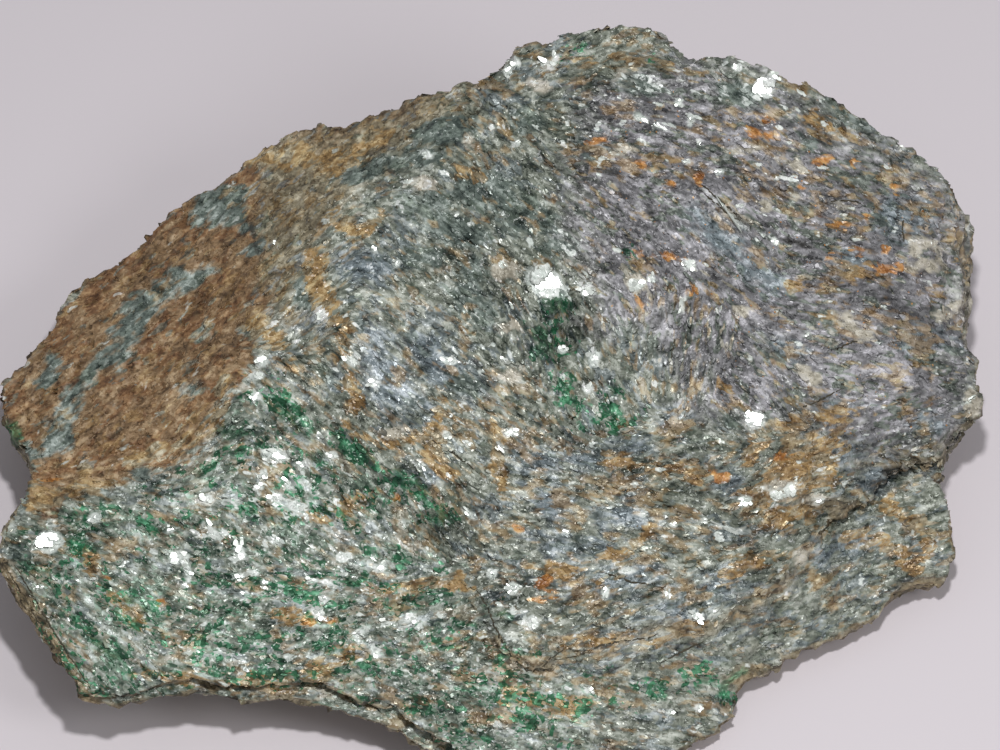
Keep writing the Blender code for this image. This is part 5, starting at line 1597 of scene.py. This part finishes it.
def add_book(build, number, across, up, long, wide, turn):
    """Adds one bright book: a few thin leaves that face the light."""
    draw = random.Random(BOOK_SEED + number)
    place = on_skin(across, up)
    if place is None:
        raise RuntimeError(f"bright book {number} misses the rock")
    along = Vector((math.cos(turn), math.sin(turn) / math.sin(LEAN), 0.0))
    facing = (VIEW + (KEY_PLACE - place).normalized()).normalized()
    needle = wide < NEEDLE_WIDTH
    if needle:
        facing = (facing + NEEDLE_LEAN).normalized()
    big = needle or long * wide > BIG_BOOK
    lean = WHOLE_LEAN if big else SHARD_LEAN
    for layer in range(BOOK_LEAVES):
        whole = big and layer < WHOLE_LEAVES
        lie = (facing + Vector([draw.uniform(-lean, lean) for _ in range(3)])).normalized()
        run = (along - lie * along.dot(lie)).normalized()
        turned = Matrix((run, lie.cross(run), lie)).transposed()
        seed = BOOK_SHAPE_SEED + BOOK_SEED_STEP * number + layer
        ring = leaf_outline(BOOK_CORNERS, seed, BOOK_LEAST)
        shrink = 1.0 - WHOLE_TAPER * layer if whole else SHARD_SHARE
        slide = WHOLE_SLIDE if whole else SHARD_SLIDE
        base = (layer % 3 - LEAF_STEP_LOW) * LEAF_STEP
        slip = [draw.uniform(-slide, slide) * size for size in (long, wide)]

        def corners(share, high):
            for a, b in ring:
                a, b = a * share * long * shrink + slip[0], b * share * wide * shrink + slip[1]
                yield build.verts.new(place + turned @ Vector((a, b, base + high)) * MM)

        top, foot = list(corners(BOOK_TOP_SHARE, LEAF_TOP)), list(corners(1.0, LEAF_FOOT))
        build.faces.new(top)
        build.faces.new(foot[::-1])
        bridge(build, foot, top)


def add_edge_shadow(build, draw, line):
    """Adds one thin dark strip of painted shadow along a line, tapered to its ends."""
    places = []
    for (a0, u0), (a1, u1) in zip(line, line[1:]):
        steps = max(2, round(math.hypot(a1 - a0, u1 - u0) / EDGE_STEP))
        for n in range(steps):
            across = a0 + (a1 - a0) * n / steps + draw.uniform(-EDGE_STRAY, EDGE_STRAY)
            up = u0 + (u1 - u0) * n / steps + draw.uniform(-EDGE_STRAY, EDGE_STRAY)
            place = on_skin(across, up)
            if place is not None:
                places.append(place)
    rings = []
    for n, place in enumerate(places):
        ahead = places[min(n + 1, len(places) - 1)] - places[max(n - 1, 0)]
        over = VIEW.cross(ahead).normalized()
        taper = math.sin(math.pi * (n + 0.5) / len(places)) ** 0.5
        half = EDGE_WIDTH / 2 * taper * draw.uniform(*EDGE_WIDTHS) * MM
        corners = (over * half, VIEW * EDGE_RISE * MM, over * -half, VIEW * EDGE_DEPTH * MM)
        rings.append([build.verts.new(place + corner) for corner in corners])
    for first, second in zip(rings, rings[1:]):
        bridge(build, first, second)
    build.faces.new(rings[0][::-1])
    build.faces.new(rings[-1])


# Operators --------------------------------------------------------------------

KEY_PLACE = Vector((0.03, -0.13, 0.48))
# Name, place, size in metres and strength in watts.
LIGHTS = (
    ("key_light", KEY_PLACE, 0.035, 1.27),
    ("fill_light", Vector((0.42, -0.28, 0.5)), 0.25, 0.85),
)
SKY_COLOUR = (0.97, 0.98, 1.0)
SKY_STRENGTH = 0.28
CAMERA_AIM = Vector((0.8, 6.3, 15.0)) * MM
CAMERA_DISTANCE = 1.5
CAMERA_LENS = 405.0
SENSOR = 36.0
CLIP_START, CLIP_END = 0.05, 10.0
FLOOR_HALF = 1.2


class MICA_OT_skin(bpy.types.Operator):
    """Make the rock's skin from the block"""

    bl_idname = "mica.skin"
    bl_label = "Rock skin"

    def execute(self, context):
        settings = {"Height": sizes().skin_relief, "Material": skin_material()}
        mesh = with_tree(skin_mesh(), STREWN_SKIN, relief_tree(), settings)
        keep_above_floor(mesh)
        mesh.shade_smooth()
        skin = show(lightened(mesh, "rock_skin", SKIN_SHARE), "rock_skin")
        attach(skin, BODY)
        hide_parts(NODE)
        return {"FINISHED"}


class MICA_OT_leaves(bpy.types.Operator):
    """Strew the leaves of mica over the skin"""

    bl_idname = "mica.leaves"
    bl_label = "Mica leaves"

    def execute(self, context):
        tree, material = leaf_tree(), leaf_material()
        skin = bpy.data.meshes[STREWN_SKIN]
        for name, corners, each, seed, size, shortest, thick, tilt, flock, share in LEAF_LAYERS:
            leaves = leaf_collection(f"{name}_shapes", corners)
            longest = getattr(sizes(), size)
            settings = {
                "Leaves": leaves,
                "Per Area": each / MM**2,
                "Seed": seed,
                "Longest": longest,
                "Shortest Share": shortest,
                "Thickness": thick * MM,
                "Tilt": tilt,
                "Flock Tilt": flock,
                "Sink": SINK,
                "Weathered Share": share,
                "Material": material,
            }
            mesh = with_tree(skin.copy(), name, tree, settings)
            count = spread_maps(mesh, corners, longest)
            triangles = len(mesh.polygons)
            print(f"{name}: {count} leaves, {triangles} triangles")
            if triangles >= MOST_TRIANGLES:
                raise RuntimeError(f"{name} has {triangles} triangles")
            keep_above_floor(mesh)
            place_piece(mesh, name)
            for leaf in list(leaves.objects):
                bpy.data.objects.remove(leaf)
            bpy.data.collections.remove(leaves)
        return {"FINISHED"}


class MICA_OT_books(bpy.types.Operator):
    """Set the single bright books of mica"""

    bl_idname = "mica.books"
    bl_label = "Bright books"

    def execute(self, context):
        build = bmesh.new()
        for number, (across, up, long, wide, *turn) in enumerate(BRIGHT_BOOKS):
            add_book(build, number, across, up, long, wide, math.radians(sum(turn)))
        finish_piece(build, "bright_books", book_material())
        return {"FINISHED"}


class MICA_OT_edges(bpy.types.Operator):
    """Draw the thin dark strips of painted shadow where one plate ends on another"""

    bl_idname = "mica.edges"
    bl_label = "Plate edges"

    def execute(self, context):
        build = bmesh.new()
        draw = random.Random(EDGE_SEED)
        for line in PLATE_EDGE_SHADOWS:
            add_edge_shadow(build, draw, line)
        bmesh.ops.recalc_face_normals(build, faces=build.faces)
        finish_piece(build, "plate_edges", edge_shadow_material())
        return {"FINISHED"}


class MICA_OT_stage(bpy.types.Operator):
    """Lay the floor and set the lights and the camera"""

    bl_idname = "mica.stage"
    bl_label = "Stage"

    def execute(self, context):
        scene = context.scene
        mesh = bpy.data.meshes.new("floor")
        near, far = -FLOOR_HALF, FLOOR_HALF
        corners = [(near, near, 0), (far, near, 0), (far, far, 0), (near, far, 0)]
        mesh.from_pydata(corners, [], [(0, 1, 2, 3)])
        mesh.materials.append(floor_material())
        show(mesh, "floor")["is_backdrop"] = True

        for name, place, size, watts in LIGHTS:
            data = bpy.data.lights.new(name, "AREA")
            data.shape = "DISK"
            data.size = size
            data.energy = watts
            light = show(data, name)
            light.location = place
            light.rotation_euler = (CAMERA_AIM - place).to_track_quat("-Z", "Y").to_euler()

        scene.world = bpy.data.worlds.new("studio")
        scene.world.use_nodes = True
        sky = scene.world.node_tree.nodes["Background"]
        sky.inputs["Color"].default_value = opaque(SKY_COLOUR)
        sky.inputs["Strength"].default_value = SKY_STRENGTH

        data = bpy.data.cameras.new("camera")
        data.sensor_width = SENSOR
        data.lens = CAMERA_LENS
        data.clip_start = CLIP_START
        data.clip_end = CLIP_END
        camera = show(data, "camera")
        camera.location = CAMERA_AIM + VIEW * CAMERA_DISTANCE
        camera.rotation_euler = (-VIEW).to_track_quat("-Z", "Y").to_euler()
        scene.camera = camera
        scene.view_settings.view_transform = "Standard"
        return {"FINISHED"}


class MICA_PT_panel(bpy.types.Panel):
    bl_idname = "MICA_PT_panel"
    bl_label = "Mica schist"
    bl_space_type = "VIEW_3D"
    bl_region_type = "UI"
    bl_category = "Mica"

    def draw(self, context):
        for group in (sizes(), colours()):
            box = self.layout.box()
            for name in group.__annotations__:
                box.prop(group, name)
        for operator in OPERATORS:
            self.layout.operator(operator.bl_idname)


OPERATORS = (MICA_OT_skin, MICA_OT_leaves, MICA_OT_books, MICA_OT_edges, MICA_OT_stage)
CLASSES = (MicaSizes, MicaColours, *OPERATORS, MICA_PT_panel)


def register():
    for cls in CLASSES:
        bpy.utils.register_class(cls)
    bpy.types.Scene.mica_sizes = PointerProperty(type=MicaSizes)
    bpy.types.Scene.mica_colours = PointerProperty(type=MicaColours)


def unregister():
    del bpy.types.Scene.mica_colours
    del bpy.types.Scene.mica_sizes
    for cls in reversed(CLASSES):
        bpy.utils.unregister_class(cls)


def main():
    register()
    bpy.ops.mica.skin()
    bpy.ops.mica.leaves()
    bpy.ops.mica.books()
    bpy.ops.mica.edges()
    bpy.ops.mica.stage()
    boxes = {"cad": CAD_BOX, "visual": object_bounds()}
    boxes = {name: [list(corner) for corner in box] for name, box in boxes.items()}


if __name__ == "__main__":
    main()
